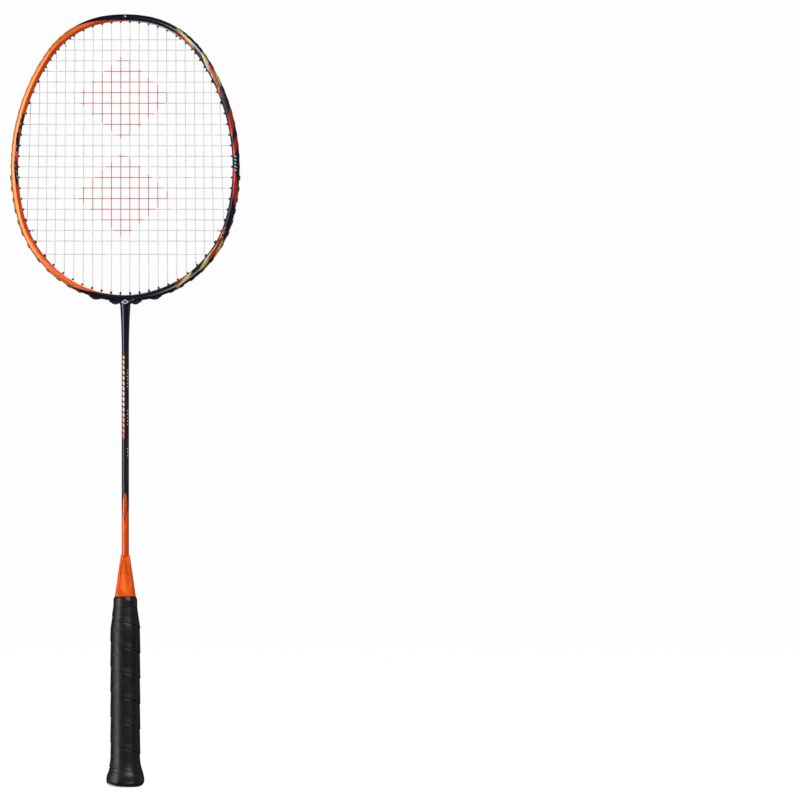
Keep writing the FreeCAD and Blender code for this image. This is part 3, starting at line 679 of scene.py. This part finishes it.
class Graph:
    """Short calls for building one node tree."""

    def __init__(self, tree):
        self.tree = tree

    def node(self, kind, **settings):
        made = self.tree.nodes.new(kind)
        for key, value in settings.items():
            setattr(made, key, value)
        return made

    def feed(self, socket, value):
        if isinstance(value, bpy.types.NodeSocket):
            self.tree.links.new(value, socket)
        elif value is not None:
            socket.default_value = value

    def math(self, operation, a, b=None, clamp=False):
        made = self.node("ShaderNodeMath", operation=operation, use_clamp=clamp)
        for socket, value in zip(made.inputs, (a, b)):
            self.feed(socket, value)
        return made.outputs[0]

    def plus(self, a, b):
        return self.math("ADD", a, b)

    def minus(self, a, b):
        return self.math("SUBTRACT", a, b)

    def times(self, a, b):
        return self.math("MULTIPLY", a, b)

    def over(self, a, b, clamp=False):
        return self.math("DIVIDE", a, b, clamp=clamp)

    def absolute(self, a):
        return self.math("ABSOLUTE", a)

    def smooth(self, value, low, high, to_low=0.0, to_high=1.0):
        """An eased step from to_low to to_high as the value goes from low to high."""
        made = self.node("ShaderNodeMapRange", interpolation_type="SMOOTHSTEP")
        names = ("Value", "From Min", "From Max", "To Min", "To Max")
        for name, given in zip(names, (value, low, high, to_low, to_high)):
            self.feed(made.inputs[name], given)
        return made.outputs[0]

    def band(self, value, middle, full, none):
        """1 up to the distance "full" from the middle, easing to 0 at the distance "none"."""
        return self.smooth(self.absolute(self.minus(value, middle)), full, none, 1.0, 0.0)

    def mix(self, share, a, b):
        made = self.node("ShaderNodeMix", data_type="RGBA")
        self.feed(made.inputs[0], share)
        self.feed(made.inputs[6], a)
        self.feed(made.inputs[7], b)
        return made.outputs[2]

    def noise(self, place, scale, detail=2.0, roughness=0.5):
        made = self.node("ShaderNodeTexNoise")
        for name, given in zip(("Vector", "Scale", "Detail", "Roughness"), (place, scale, detail, roughness)):
            self.feed(made.inputs[name], given)
        return made.outputs[0]

    def split(self, vector):
        made = self.node("ShaderNodeSeparateXYZ")
        self.feed(made.inputs[0], vector)
        return tuple(made.outputs)[:3]

    def bump(self, height, distance, strength):
        made = self.node("ShaderNodeBump")
        made.inputs["Strength"].default_value = strength
        made.inputs["Distance"].default_value = distance
        self.feed(made.inputs["Height"], height)
        return made.outputs[0]


def rgb(red, green, blue):
    return (red, green, blue, 1.0)


def new_material(name, **constants):
    """A material, its node tree, its shader with constants on its own sockets, and the place on the object."""
    material = bpy.data.materials.new(name)
    material.use_nodes = True
    graph = Graph(material.node_tree)
    shader = material.node_tree.nodes["Principled BSDF"]
    for key, value in constants.items():
        shader.inputs[key.replace("_", " ")].default_value = value
    place = graph.node("ShaderNodeTexCoord").outputs["Object"]
    return material, graph, shader, place


PATCH_SHADES = (0.88, 1.1)


def finish_surface(graph, shader, colour, rough_low, rough_high, place, patch, bump):
    """Colour with slow patches, roughness that wanders between two values, and a bump."""
    patches = graph.noise(place, patch, 4.0, 0.6)
    darker = graph.node("ShaderNodeHueSaturation")
    graph.feed(darker.inputs["Value"], graph.smooth(patches, 0.25, 0.75, *PATCH_SHADES))
    graph.feed(darker.inputs["Color"], colour)
    graph.feed(shader.inputs["Base Color"], darker.outputs[0])
    graph.feed(shader.inputs["Roughness"], graph.smooth(patches, 0.3, 0.7, rough_low, rough_high))
    graph.feed(shader.inputs["Normal"], bump)


# ---------------- paint

NAVY = rgb(0.0028, 0.0024, 0.013)
ORANGE = rgb(0.94, 0.108, 0.008)
# Painted light and shade: a lighter orange for the hoop's outer side as if lit, and a deeper orange for its
# inner face as if in shade
PAINTED_HIGHLIGHT_ORANGE = rgb(0.95, 0.21, 0.020)
PAINTED_SHADE_ORANGE = rgb(0.97, 0.068, 0.004)
RED = rgb(0.42, 0.011, 0.008)
DARK_RED = rgb(0.12, 0.005, 0.010)
CORAL = rgb(0.82, 0.085, 0.040)
LIME = rgb(0.46, 0.42, 0.075)
GOLD = rgb(0.74, 0.50, 0.13)
PALE = rgb(0.80, 0.74, 0.74)

# Sprays of paint leaves. A leaf is its start and end as shares of the spray's run, its place across the
# hoop (0 inside, 1 outside) at each end, its half width as a share of the hoop's, and its colour.
SHORT_SPRAY = (
    (0.0, 1.0, 0.25, 0.05, 0.20, RED), (0.0, 1.0, 0.85, 0.20, 0.25, LIME),
    (0.1, 0.8, 1.00, 0.60, 0.15, DARK_RED), (0.4, 0.9, 0.40, 0.15, 0.06, GOLD),
)
# The pale leaf of the long spray, along its inner side, is a painted highlight
LONG_SPRAY = (
    (0.0, 0.6, 0.75, 0.30, 0.30, LIME), (0.2, 0.5, 0.40, 0.20, 0.12, PALE),
    (0.3, 1.0, 0.65, 0.55, 0.28, RED), (0.3, 0.9, 0.30, 0.30, 0.07, GOLD),
    (0.5, 1.0, 1.00, 0.75, 0.16, LIME),
)
TAIL_SPRAY = (
    (0.0, 1.0, 0.05, 0.20, 0.20, RED), (0.2, 0.7, 0.35, 0.20, 0.07, GOLD),
    (0.2, 1.0, 0.45, 0.65, 0.15, DARK_RED),
)
RED_STREAK = ((0.0, 1.0, 0.85, 0.20, 0.35, RED), (0.6, 1.0, 0.40, 0.20, 0.10, CORAL))
BLACK_WEDGE = ((0.0, 1.0, 0.50, 0.20, 0.18, NAVY), (0.1, 1.0, 0.20, 0.02, 0.14, DARK_RED))

# Where each spray runs, from and to in millimetres from the hoop's top: the lower ones run upwards
RIGHT_SPRAYS = (
    (45, 70, SHORT_SPRAY), (75, 110, LONG_SPRAY), (105, 120, TAIL_SPRAY), (130, 155, RED_STREAK),
    (155, 172, RED_STREAK), (215, 182, RED_STREAK), (250, 235, TAIL_SPRAY), (280, 245, LONG_SPRAY),
    (305, 285, SHORT_SPRAY),
)
LEFT_SPRAYS = ((-150, -170, BLACK_WEDGE), (-170, -200, BLACK_WEDGE))

# Rows of white ticks: first place along, how many, their pitch, first place across and its step
RIGHT_TICK_ROWS = (
    (52, 4, 4, 0.80, -0.12), (98, 4, 4, 0.25, 0.08), (236, 3, 4, 0.35, 0.12), (286, 4, 3, 0.06, 0.12),
)
LEFT_TICK_ROWS = ((-137, 3, -6, 0.40, -0.10), (-163, 2, -6, 0.36, -0.10), (-175, 4, -5, 0.50, -0.12))
SIDE_BAR_ROWS = ((172, 5, 3, 0.46, 0.0),)

# The hoop's orange: where it starts at the top and over what run, where it ends below, and where painted shade
# on its inner face gives way to a painted highlight on its outer side
ORANGE_TOP = 20.0
ORANGE_TOP_RUN = 69.0
ORANGE_FOOT = (-343.0, -283.0)
PAINTED_LIGHT_SPLIT = (0.37, 0.41)
ORANGE_METAL = 0.36

# The dark block on the hoop's left, and the navy of the neck
BLOCK_START = (-155.0, -152.0)
BLOCK_END = (-134.5, -134.0)
BLOCK_ACROSS = 0.42
NECK_PAINT_HALF = 12.5
NECK_PAINT_TOP = 426.0

# Generic marks: a triangle at the hoop's top and an outlined diamond on the joint
TOP_MARK_TIP = 0.53
TOP_MARK_END = 0.75
TOP_MARK_SPREAD = 5.2
JOINT_MARK_HEIGHT = (HOOP_BOTTOM - 0.3) * MM
JOINT_MARK_HALF = (3.3 * MM, 2.1 * MM)

LEAF_BLUNTNESS = 0.7
PAINT_EDGE = 0.03
PEEL_DEPTH = 0.000003


def leaf_group():
    """A node group: how much of a leaf-shaped patch covers a point along and across the hoop."""
    tree = bpy.data.node_groups.new("leaf", "ShaderNodeTree")
    for name in ("Along", "Across", "Start", "End", "From", "To", "Half"):
        tree.interface.new_socket(name, in_out="INPUT", socket_type="NodeSocketFloat")
    tree.interface.new_socket("Cover", in_out="OUTPUT", socket_type="NodeSocketFloat")
    graph = Graph(tree)
    given = graph.node("NodeGroupInput").outputs
    result = graph.node("NodeGroupOutput")
    length = graph.minus(given["End"], given["Start"])
    share = graph.over(graph.minus(given["Along"], given["Start"]), length, clamp=True)
    shift = graph.times(share, graph.minus(given["To"], given["From"]))
    middle = graph.plus(given["From"], shift)
    bulge = graph.times(graph.times(share, graph.minus(1.0, share)), 4.0)
    width = graph.times(graph.math("POWER", bulge, LEAF_BLUNTNESS), given["Half"])
    away = graph.absolute(graph.minus(given["Across"], middle))
    graph.feed(result.inputs["Cover"], graph.smooth(graph.minus(width, away), 0.0, PAINT_EDGE))
    return tree


LEAF = leaf_group()


def leaf_cover(graph, along, across, start, end, across_start, across_end, half):
    made = graph.node("ShaderNodeGroup", node_tree=LEAF)
    values = (along, across, float(start), float(end), float(across_start), float(across_end), float(half))
    for socket, value in zip(made.inputs, values):
        graph.feed(socket, value)
    return made.outputs[0]


def painted_leaves(graph, colour, along, across, leaves):
    for *shape, paint in leaves:
        colour = graph.mix(leaf_cover(graph, along, across, *shape), colour, paint)
    return colour


def painted_sprays(graph, colour, along, across, sprays):
    for start, end, pattern in sprays:
        run = end - start
        leaves = [(start + run * first, start + run * last, *rest) for first, last, *rest in pattern]
        colour = painted_leaves(graph, colour, along, across, leaves)
    return colour


def painted_ticks(graph, colour, along, across, rows, slope, length=4.0, half=0.045):
    for first, count, pitch, across_first, across_step in rows:
        for number in range(count):
            place = first + pitch * number
            middle = across_first + across_step * number
            ends = (place - length / 2, place + length / 2, middle - slope / 2, middle + slope / 2)
            colour = graph.mix(leaf_cover(graph, along, across, *ends, half), colour, PALE)
    return colour


def head_paint():
    """Navy on the right and orange on the left, with leaves, ticks and bars of other colours; the orange is
    painted lighter on its outer side and deeper on its inner face as painted light and shade.
    """
    material, graph, shader, place = new_material(
        "head_paint", Coat_Weight=0.7, Coat_Roughness=0.20, Specular_IOR_Level=0.3
    )
    run = graph.node("ShaderNodeUVMap", uv_map="Run")
    along, across, _ = graph.split(run.outputs[0])
    wander = graph.times(graph.minus(graph.noise(place, 260.0), 0.5), 0.05)
    rough_across = graph.plus(across, wander)

    top_share = graph.over(graph.minus(ORANGE_TOP, along), ORANGE_TOP_RUN, clamp=True)
    top_limit = graph.math("POWER", top_share, 2.0)
    bottom_limit = graph.smooth(along, *ORANGE_FOOT)
    limit = graph.times(graph.math("MINIMUM", top_limit, bottom_limit), 1.1)
    orange_cover = graph.smooth(graph.minus(limit, across), 0.0, PAINT_EDGE)
    # Painted light and shade on the orange: a painted highlight towards the outer side, painted shade on the
    # inner face
    painted_light_and_shade = graph.mix(graph.smooth(across, *PAINTED_LIGHT_SPLIT), PAINTED_SHADE_ORANGE, PAINTED_HIGHLIGHT_ORANGE)

    block_run = graph.times(graph.smooth(along, *BLOCK_START), graph.smooth(along, *BLOCK_END, 1.0, 0.0))
    block_limit = graph.smooth(graph.minus(BLOCK_ACROSS, across), 0.0, 0.04)
    block = graph.mix(graph.smooth(across, 0.14, 0.20), NAVY, DARK_RED)
    left = graph.mix(graph.times(block_run, block_limit), painted_light_and_shade, block)
    left = painted_sprays(graph, left, along, rough_across, LEFT_SPRAYS)
    left = painted_ticks(graph, left, along, across, LEFT_TICK_ROWS, slope=0.14)

    right = painted_sprays(graph, NAVY, along, rough_across, RIGHT_SPRAYS)
    streak_place = graph.node("ShaderNodeCombineXYZ")
    graph.feed(streak_place.inputs[0], graph.plus(graph.times(along, 0.16), across))
    graph.feed(streak_place.inputs[1], graph.times(across, 9.0))
    streaks = graph.noise(streak_place.outputs[0], 1.6, 3.0, 0.6)
    vivid = graph.node("ShaderNodeHueSaturation")
    graph.feed(vivid.inputs["Value"], graph.smooth(streaks, 0.30, 0.70, 0.45, 1.45))
    graph.feed(vivid.inputs["Color"], right)
    right = vivid.outputs[0]
    right = painted_ticks(graph, right, along, across, RIGHT_TICK_ROWS, slope=-0.14, length=3.4)
    right = painted_ticks(graph, right, along, across, SIDE_BAR_ROWS, slope=0.30, length=1.8, half=0.10)
    colour = graph.mix(orange_cover, right, left)
    x, y, z = graph.split(place)
    near_axis = graph.math("LESS_THAN", graph.absolute(x), NECK_PAINT_HALF * MM)
    low_down = graph.math("LESS_THAN", z, NECK_PAINT_TOP * MM)
    colour = graph.mix(graph.times(near_axis, low_down), colour, NAVY)

    mark_half = graph.times(graph.minus(across, TOP_MARK_TIP), TOP_MARK_SPREAD)
    top_mark = graph.smooth(graph.minus(mark_half, graph.absolute(along)), 0.0, 0.1)
    top_mark = graph.times(top_mark, graph.math("LESS_THAN", across, TOP_MARK_END))
    colour = graph.mix(top_mark, colour, PALE)
    from_middle = graph.over(graph.absolute(x), JOINT_MARK_HALF[0])
    from_joint = graph.absolute(graph.minus(z, JOINT_MARK_HEIGHT))
    from_joint = graph.over(from_joint, JOINT_MARK_HALF[1])
    diamond = graph.minus(1.0, graph.plus(from_middle, from_joint))
    outline = graph.minus(graph.smooth(diamond, 0.0, 0.06), graph.smooth(diamond, 0.40, 0.46))
    on_face = graph.smooth(graph.absolute(y), 3.0 * MM, 3.4 * MM)
    colour = graph.mix(graph.times(outline, on_face), colour, PALE)
    flakes = graph.noise(place, 5200.0, 1.0)
    colour = graph.mix(graph.smooth(flakes, 0.62, 0.80, 0.0, 0.03), colour, PALE)
    peel = graph.noise(place, 900.0, 2.0)
    graph.feed(shader.inputs["Metallic"], graph.times(orange_cover, ORANGE_METAL))
    finish_surface(graph, shader, colour, 0.27, 0.34, place, 60.0, graph.bump(peel, PEEL_DEPTH, 0.3))
    return material


# Shaft: heights in millimetres above the butt, and turns about its axis in radians from the front. The tails
# are leaves that start and end at heights, and are placed across in half turns.
SHAFT_ORANGE_TOP = 243.0
SHAFT_METAL = 0.5
SPEAR_RISE = 14.0
SPEAR_BLUNTNESS = 0.8
SPEAR_TAILS = (
    (237.0, 250.0, 0.0, 0.44, 0.065, NAVY), (230.0, 250.0, 0.04, -0.44, 0.06, NAVY),
    (237.0, 250.0, -1.0, -0.56, 0.065, NAVY), (230.0, 250.0, 0.96, 0.56, 0.06, NAVY),
)
BAR_LOW = 303.0
BAR_RUN = 74.0
BAR_TURN = -0.52
BAR_SLANT = 1.6
BAR_HALF_PITCH = 2.3
BAR_STOPS = (
    (0.0, CORAL), (0.35, rgb(0.80, 0.55, 0.45)), (0.6, rgb(0.78, 0.74, 0.62)), (1.0, rgb(0.62, 0.58, 0.06)),
)
GLOW_TURN = 0.75
TICK_TURN = 0.72
TICK_SLANT = 2.4
TICK_HALF_PITCH = 1.5
TICK_GROUP = 17.0
TICKS_FROM = (286.0, 290.0)


def shaft_paint():
    """Navy above with gradient bars and ticks, and orange below, which rises to a point front and back."""
    material, graph, shader, place = new_material(
        "shaft_paint", Coat_Weight=0.6, Coat_Roughness=0.24, Specular_IOR_Level=0.35
    )
    x, y, z = graph.split(place)
    height = graph.over(z, MM)
    turn = graph.math("ARCTAN2", x, graph.times(y, -1.0))
    across = graph.over(turn, math.pi)

    facing = graph.math("COSINE", graph.times(turn, 2.0))
    tip = graph.math("POWER", graph.math("MAXIMUM", facing, 0.0), SPEAR_BLUNTNESS)
    edge = graph.plus(SHAFT_ORANGE_TOP, graph.times(tip, SPEAR_RISE))
    orange_cover = graph.smooth(graph.minus(edge, height), 0.0, 0.5)

    ramp = graph.node("ShaderNodeValToRGB")
    ramp.color_ramp.elements[0].color = BAR_STOPS[0][1]
    ramp.color_ramp.elements[1].color = BAR_STOPS[-1][1]
    for position, paint in BAR_STOPS[1:-1]:
        ramp.color_ramp.elements.new(position).color = paint
    graph.feed(ramp.inputs[0], graph.over(graph.minus(height, BAR_LOW), BAR_RUN, clamp=True))
    slanted = graph.plus(height, graph.times(turn, BAR_SLANT))
    bars = graph.smooth(graph.math("PINGPONG", slanted, BAR_HALF_PITCH), 0.62, 0.75)
    strip = graph.band(turn, BAR_TURN, 0.30, 0.34)
    bar_high = BAR_LOW + BAR_RUN
    above = graph.smooth(height, BAR_LOW, BAR_LOW + 1.0)
    reach = graph.times(above, graph.smooth(height, bar_high - 1.0, bar_high, 1.0, 0.0))
    bar_cover = graph.times(graph.times(bars, strip), reach)

    glow_band = graph.band(turn, GLOW_TURN, 0.1, 0.5)
    glow = graph.times(glow_band, graph.smooth(graph.noise(place, 45.0), 0.42, 0.62, 0.0, 0.85))
    glow = graph.times(glow, graph.smooth(height, 262.0, 275.0))
    colour = graph.mix(glow, NAVY, DARK_RED)
    tick_slant = graph.minus(height, graph.times(turn, TICK_SLANT))
    ticks = graph.smooth(graph.math("PINGPONG", tick_slant, TICK_HALF_PITCH), 0.42, 0.30)
    tick_strip = graph.band(turn, TICK_TURN, 0.16, 0.20)
    groups = graph.smooth(graph.math("PINGPONG", height, TICK_GROUP), 9.0, 9.6)
    tick_cover = graph.times(graph.times(ticks, tick_strip), groups)
    tick_cover = graph.times(tick_cover, graph.smooth(height, *TICKS_FROM))
    colour = graph.mix(tick_cover, colour, PALE)
    colour = graph.mix(bar_cover, colour, ramp.outputs[0])
    colour = graph.mix(orange_cover, colour, ORANGE)
    colour = painted_leaves(graph, colour, height, across, SPEAR_TAILS)
    peel = graph.noise(place, 900.0, 2.0)
    graph.feed(shader.inputs["Metallic"], graph.times(orange_cover, SHAFT_METAL))
    finish_surface(graph, shader, colour, 0.34, 0.42, place, 70.0, graph.bump(peel, PEEL_DEPTH, 0.3))
    return material


def cone_paint():
    """A finely pitted orange, slightly swirled."""
    material, graph, shader, place = new_material(
        "cone_paint", Coat_Weight=0.15, Coat_Roughness=0.22, Specular_IOR_Level=0.2, Metallic=0.4
    )
    pits = graph.noise(place, 2600.0, 2.0)
    swirl = graph.noise(place, 180.0, 3.0)
    colour = graph.mix(graph.smooth(swirl, 0.3, 0.7, 0.0, 0.25), ORANGE, rgb(0.97, 0.24, 0.012))
    finish_surface(graph, shader, colour, 0.36, 0.44, place, 90.0, graph.bump(pits, 0.00003, 0.5))
    return material


def grip_leather():
    """Soft black polyurethane: fine pores, a slight sheen and dusty wear."""
    material, graph, shader, place = new_material("grip_leather", Specular_IOR_Level=0.46)
    pores = graph.node("ShaderNodeTexVoronoi", feature="DISTANCE_TO_EDGE")
    graph.feed(pores.inputs["Vector"], place)
    graph.feed(pores.inputs["Scale"], 1500.0)
    grain = graph.plus(graph.times(pores.outputs[0], 1.6), graph.noise(place, 3000.0, 3.0))
    wear = graph.noise(place, 35.0, 5.0, 0.65)
    worn = graph.smooth(wear, 0.35, 0.7)
    colour = graph.mix(worn, rgb(0.0016, 0.0016, 0.0024), rgb(0.0036, 0.0036, 0.0044))
    finish_surface(graph, shader, colour, 0.39, 0.49, place, 140.0, graph.bump(grain, 0.00002, 0.3))
    return material


def moulded(name, colour, rough_low, rough_high, pit_scale, pit_depth, **constants):
    """A moulded plastic or rubber with fine pits."""
    material, graph, shader, place = new_material(name, **constants)
    pits = graph.noise(place, pit_scale, 3.0, 0.6)
    relief = graph.bump(pits, pit_depth, 0.7)
    finish_surface(graph, shader, colour, rough_low, rough_high, place, 120.0, relief)
    return material


# The strings' diamonds: their middles' heights, how far left they stand, and their half width and height
DIAMOND_HEIGHTS = (602.0, 517.0)
DIAMOND_SHIFT = 2.0
DIAMOND_HALF = (43.0, 38.0)


def string_nylon():
    """Off-white multifilament string with its outer wrap, and two generic diamonds stencilled in red."""
    material, graph, shader, place = new_material(
        "string_nylon", Specular_IOR_Level=0.5, Coat_Weight=0.2, Coat_Roughness=0.15
    )
    x, _, z = graph.split(place)
    covers = []
    for middle in DIAMOND_HEIGHTS:
        across = graph.absolute(graph.plus(graph.over(x, MM), DIAMOND_SHIFT))
        across = graph.over(across, DIAMOND_HALF[0])
        rise = graph.absolute(graph.minus(graph.over(z, MM), middle))
        inside = graph.minus(1.0, graph.plus(across, graph.over(rise, DIAMOND_HALF[1])))
        covers.append(graph.smooth(inside, 0.0, 0.012))
    patchy = graph.smooth(graph.noise(place, 700.0, 3.0), 0.25, 0.5, 0.72, 1.0)
    cover = graph.times(graph.math("MAXIMUM", covers[0], covers[1]), patchy)
    colour = graph.mix(cover, rgb(0.72, 0.72, 0.68), rgb(0.56, 0.030, 0.040))
    wrap = graph.node("ShaderNodeTexWave", bands_direction="DIAGONAL")
    graph.feed(wrap.inputs["Vector"], place)
    wrap.inputs["Scale"].default_value = 900.0
    finish_surface(graph, shader, colour, 0.28, 0.42, place, 50.0, graph.bump(wrap.outputs[1], 0.00003, 0.6))
    return material


BADGE_RING = 5.2 * MM
BADGE_LINE = (0.2 * MM, 0.3 * MM)


def badge_plastic():
    """A satin disc with one thin ring and a fine diamond net."""
    material, graph, shader, place = new_material("badge_plastic", Metallic=0.6, Specular_IOR_Level=0.5)
    x, y, _ = graph.split(place)
    radius = graph.math("SQRT", graph.plus(graph.times(x, x), graph.times(y, y)))
    line = graph.band(radius, BADGE_RING, *BADGE_LINE)
    colour = graph.mix(line, rgb(0.05, 0.05, 0.055), rgb(0.7, 0.7, 0.72))
    net = graph.node("ShaderNodeTexChecker")
    graph.feed(net.inputs["Vector"], place)
    net.inputs["Scale"].default_value = 900.0
    finish_surface(graph, shader, colour, 0.25, 0.38, place, 200.0, graph.bump(net.outputs[1], 0.00004, 0.5))
    return material


def wood_core():
    """Pale turned wood with grain along the handle."""
    material, graph, shader, place = new_material("handle_wood", Specular_IOR_Level=0.3)
    stretch = graph.node("ShaderNodeMapping")
    graph.feed(stretch.inputs["Vector"], place)
    stretch.inputs["Scale"].default_value = (1.0, 1.0, 0.06)
    grain = graph.noise(stretch.outputs[0], 700.0, 5.0, 0.6)
    colour = graph.mix(grain, rgb(0.62, 0.45, 0.26), rgb(0.40, 0.25, 0.12))
    finish_surface(graph, shader, colour, 0.5, 0.65, place, 60.0, graph.bump(grain, 0.0001, 0.5))
    return material


# ---------------- stage


FLOOR_RADIUS = 40.0
FLOOR_DROP = 0.0002
PAPER = rgb(0.985, 0.985, 0.985)
SURROUND = rgb(0.06, 0.06, 0.063)


def add_stage():
    """A wide pale floor just under the racket's foot, and pale paper all round."""
    bm = bmesh.new()
    bmesh.ops.create_circle(bm, cap_ends=True, segments=96, radius=FLOOR_RADIUS)
    mesh = bpy.data.meshes.new("floor")
    bm.to_mesh(mesh)
    bm.free()
    floor = add_object("floor", mesh)
    floor.location.z = -FLOOR_DROP
    floor.visible_glossy = floor.visible_diffuse = floor.visible_shadow = False
    material, graph, shader, place = new_material(
        "floor", Roughness=0.9, Specular_IOR_Level=0.0, Emission_Strength=0.985
    )
    shader.inputs["Emission Color"].default_value = rgb(1.0, 1.0, 1.0)
    cloud = graph.noise(place, 2.0)
    graph.feed(shader.inputs["Base Color"], graph.mix(cloud, rgb(0.03, 0.03, 0.03), rgb(0.036, 0.036, 0.036)))
    mesh.materials.append(material)

    world = bpy.data.worlds.new("studio")
    bpy.context.scene.world = world
    world.use_nodes = True
    graph = Graph(world.node_tree)
    paper = world.node_tree.nodes["Background"]
    paper.inputs["Strength"].default_value = 1.0
    seen = graph.node("ShaderNodeLightPath").outputs["Is Camera Ray"]
    graph.feed(paper.inputs["Color"], graph.mix(seen, SURROUND, PAPER))


# Soft lights: azimuth from the front growing to the right, elevation, distance, width and height, and power
LIGHTS = (
    ("key_strip", -62.0, 2.0, 2.4, (1.4, 3.2), 58.0), ("front_fill", 30.0, 36.0, 2.6, (1.0, 0.6), 38.0),
    ("low_fill", 30.0, -36.0, 2.6, (1.0, 0.6), 13.0), ("right_rim", 100.0, 4.0, 2.6, (0.7, 3.0), 4.0),
    ("back_fill", 165.0, 48.0, 2.6, (1.6, 1.0), 38.0), ("back_low_fill", 205.0, -40.0, 2.6, (1.6, 1.0), 26.0),
)


def add_light(name, azimuth, elevation, distance, size, power):
    """A rectangular soft light aimed at the racket's middle."""
    light = bpy.data.lights.new(name, "AREA")
    light.shape = "RECTANGLE"
    light.size, light.size_y = size
    light.energy = power
    lamp = bpy.data.objects.new(name, light)
    bpy.context.scene.collection.objects.link(lamp)
    swing = math.radians(azimuth)
    lift = math.radians(elevation)
    aim = Vector((0.0, 0.0, LENGTH * MM * 0.5))
    way = Vector((math.sin(swing) * math.cos(lift), -math.cos(swing) * math.cos(lift), math.sin(lift)))
    lamp.location = aim + way * distance
    lamp.rotation_mode = "QUATERNION"
    lamp.rotation_quaternion = way.to_track_quat("Z", "Y")


# Camera: lens and sensor in millimetres, the rest in metres
CAMERA_LENS = 300.0
SENSOR = 36.0
VIEW_HEIGHT = 0.699
CAMERA_X = 0.240
CAMERA_Z = 0.338
CAMERA_REACH = 100.0


def add_camera():
    """A long lens level with the racket's middle, which stands to the left of the frame."""
    data = bpy.data.cameras.new("camera")
    data.lens = CAMERA_LENS
    data.sensor_width = SENSOR
    data.clip_end = CAMERA_REACH
    camera = bpy.data.objects.new("camera", data)
    bpy.context.scene.collection.objects.link(camera)
    camera.location = (CAMERA_X, -VIEW_HEIGHT * CAMERA_LENS / SENSOR, CAMERA_Z)
    camera.rotation_euler = (math.pi / 2, 0.0, 0.0)
    bpy.context.scene.camera = camera


# ---------------- the racket


def dress_cad_nodes():
    """Materials for the CAD nodes that stay as they are, and the grommets that replace theirs."""
    black_nylon = moulded("grommet_nylon", rgb(0.012, 0.012, 0.013), 0.30, 0.42, 1800.0, 0.00003)
    finishes = {
        "t_joint": moulded("core_resin", rgb(0.03, 0.03, 0.035), 0.3, 0.5, 800.0, 0.00005),
        "handle_core": wood_core(),
        "grip_staple": moulded("staple_steel", rgb(0.6, 0.6, 0.6), 0.25, 0.4, 1500.0, 0.00002, Metallic=1.0),
        "butt_badge": badge_plastic(),
        "main_knots": STRING_FINISH,
        "cross_knots": STRING_FINISH,
    }
    for name in sorted(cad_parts):
        if "throat_grommets" in name:
            finishes[name] = black_nylon
        elif "grommet" in name:
            grommet_piece(name, black_nylon)
    for name, material in finishes.items():
        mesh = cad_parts[name].data
        mesh.materials.clear()
        mesh.materials.append(material)


STRING_FINISH = string_nylon()
dress_cad_nodes()
head_piece(head_paint())
shaft_piece(shaft_paint())
string_piece("main_string", "main_strings_woven", True, STRING_FINISH)
string_piece("cross_string", "cross_strings_woven", False, STRING_FINISH)
cone_piece(cone_paint())
tape_piece(grip_leather())
collar_piece(moulded("collar_rubber", rgb(0.007, 0.007, 0.008), 0.34, 0.44, 1400.0, 0.00004))
cap_piece(moulded("butt_plastic", rgb(0.007, 0.007, 0.008), 0.32, 0.44, 1600.0, 0.00004))
add_stage()
for light in LIGHTS:
    add_light(*light)
add_camera()
bpy.context.scene.view_settings.view_transform = "Standard"

bpy.context.view_layer.update()
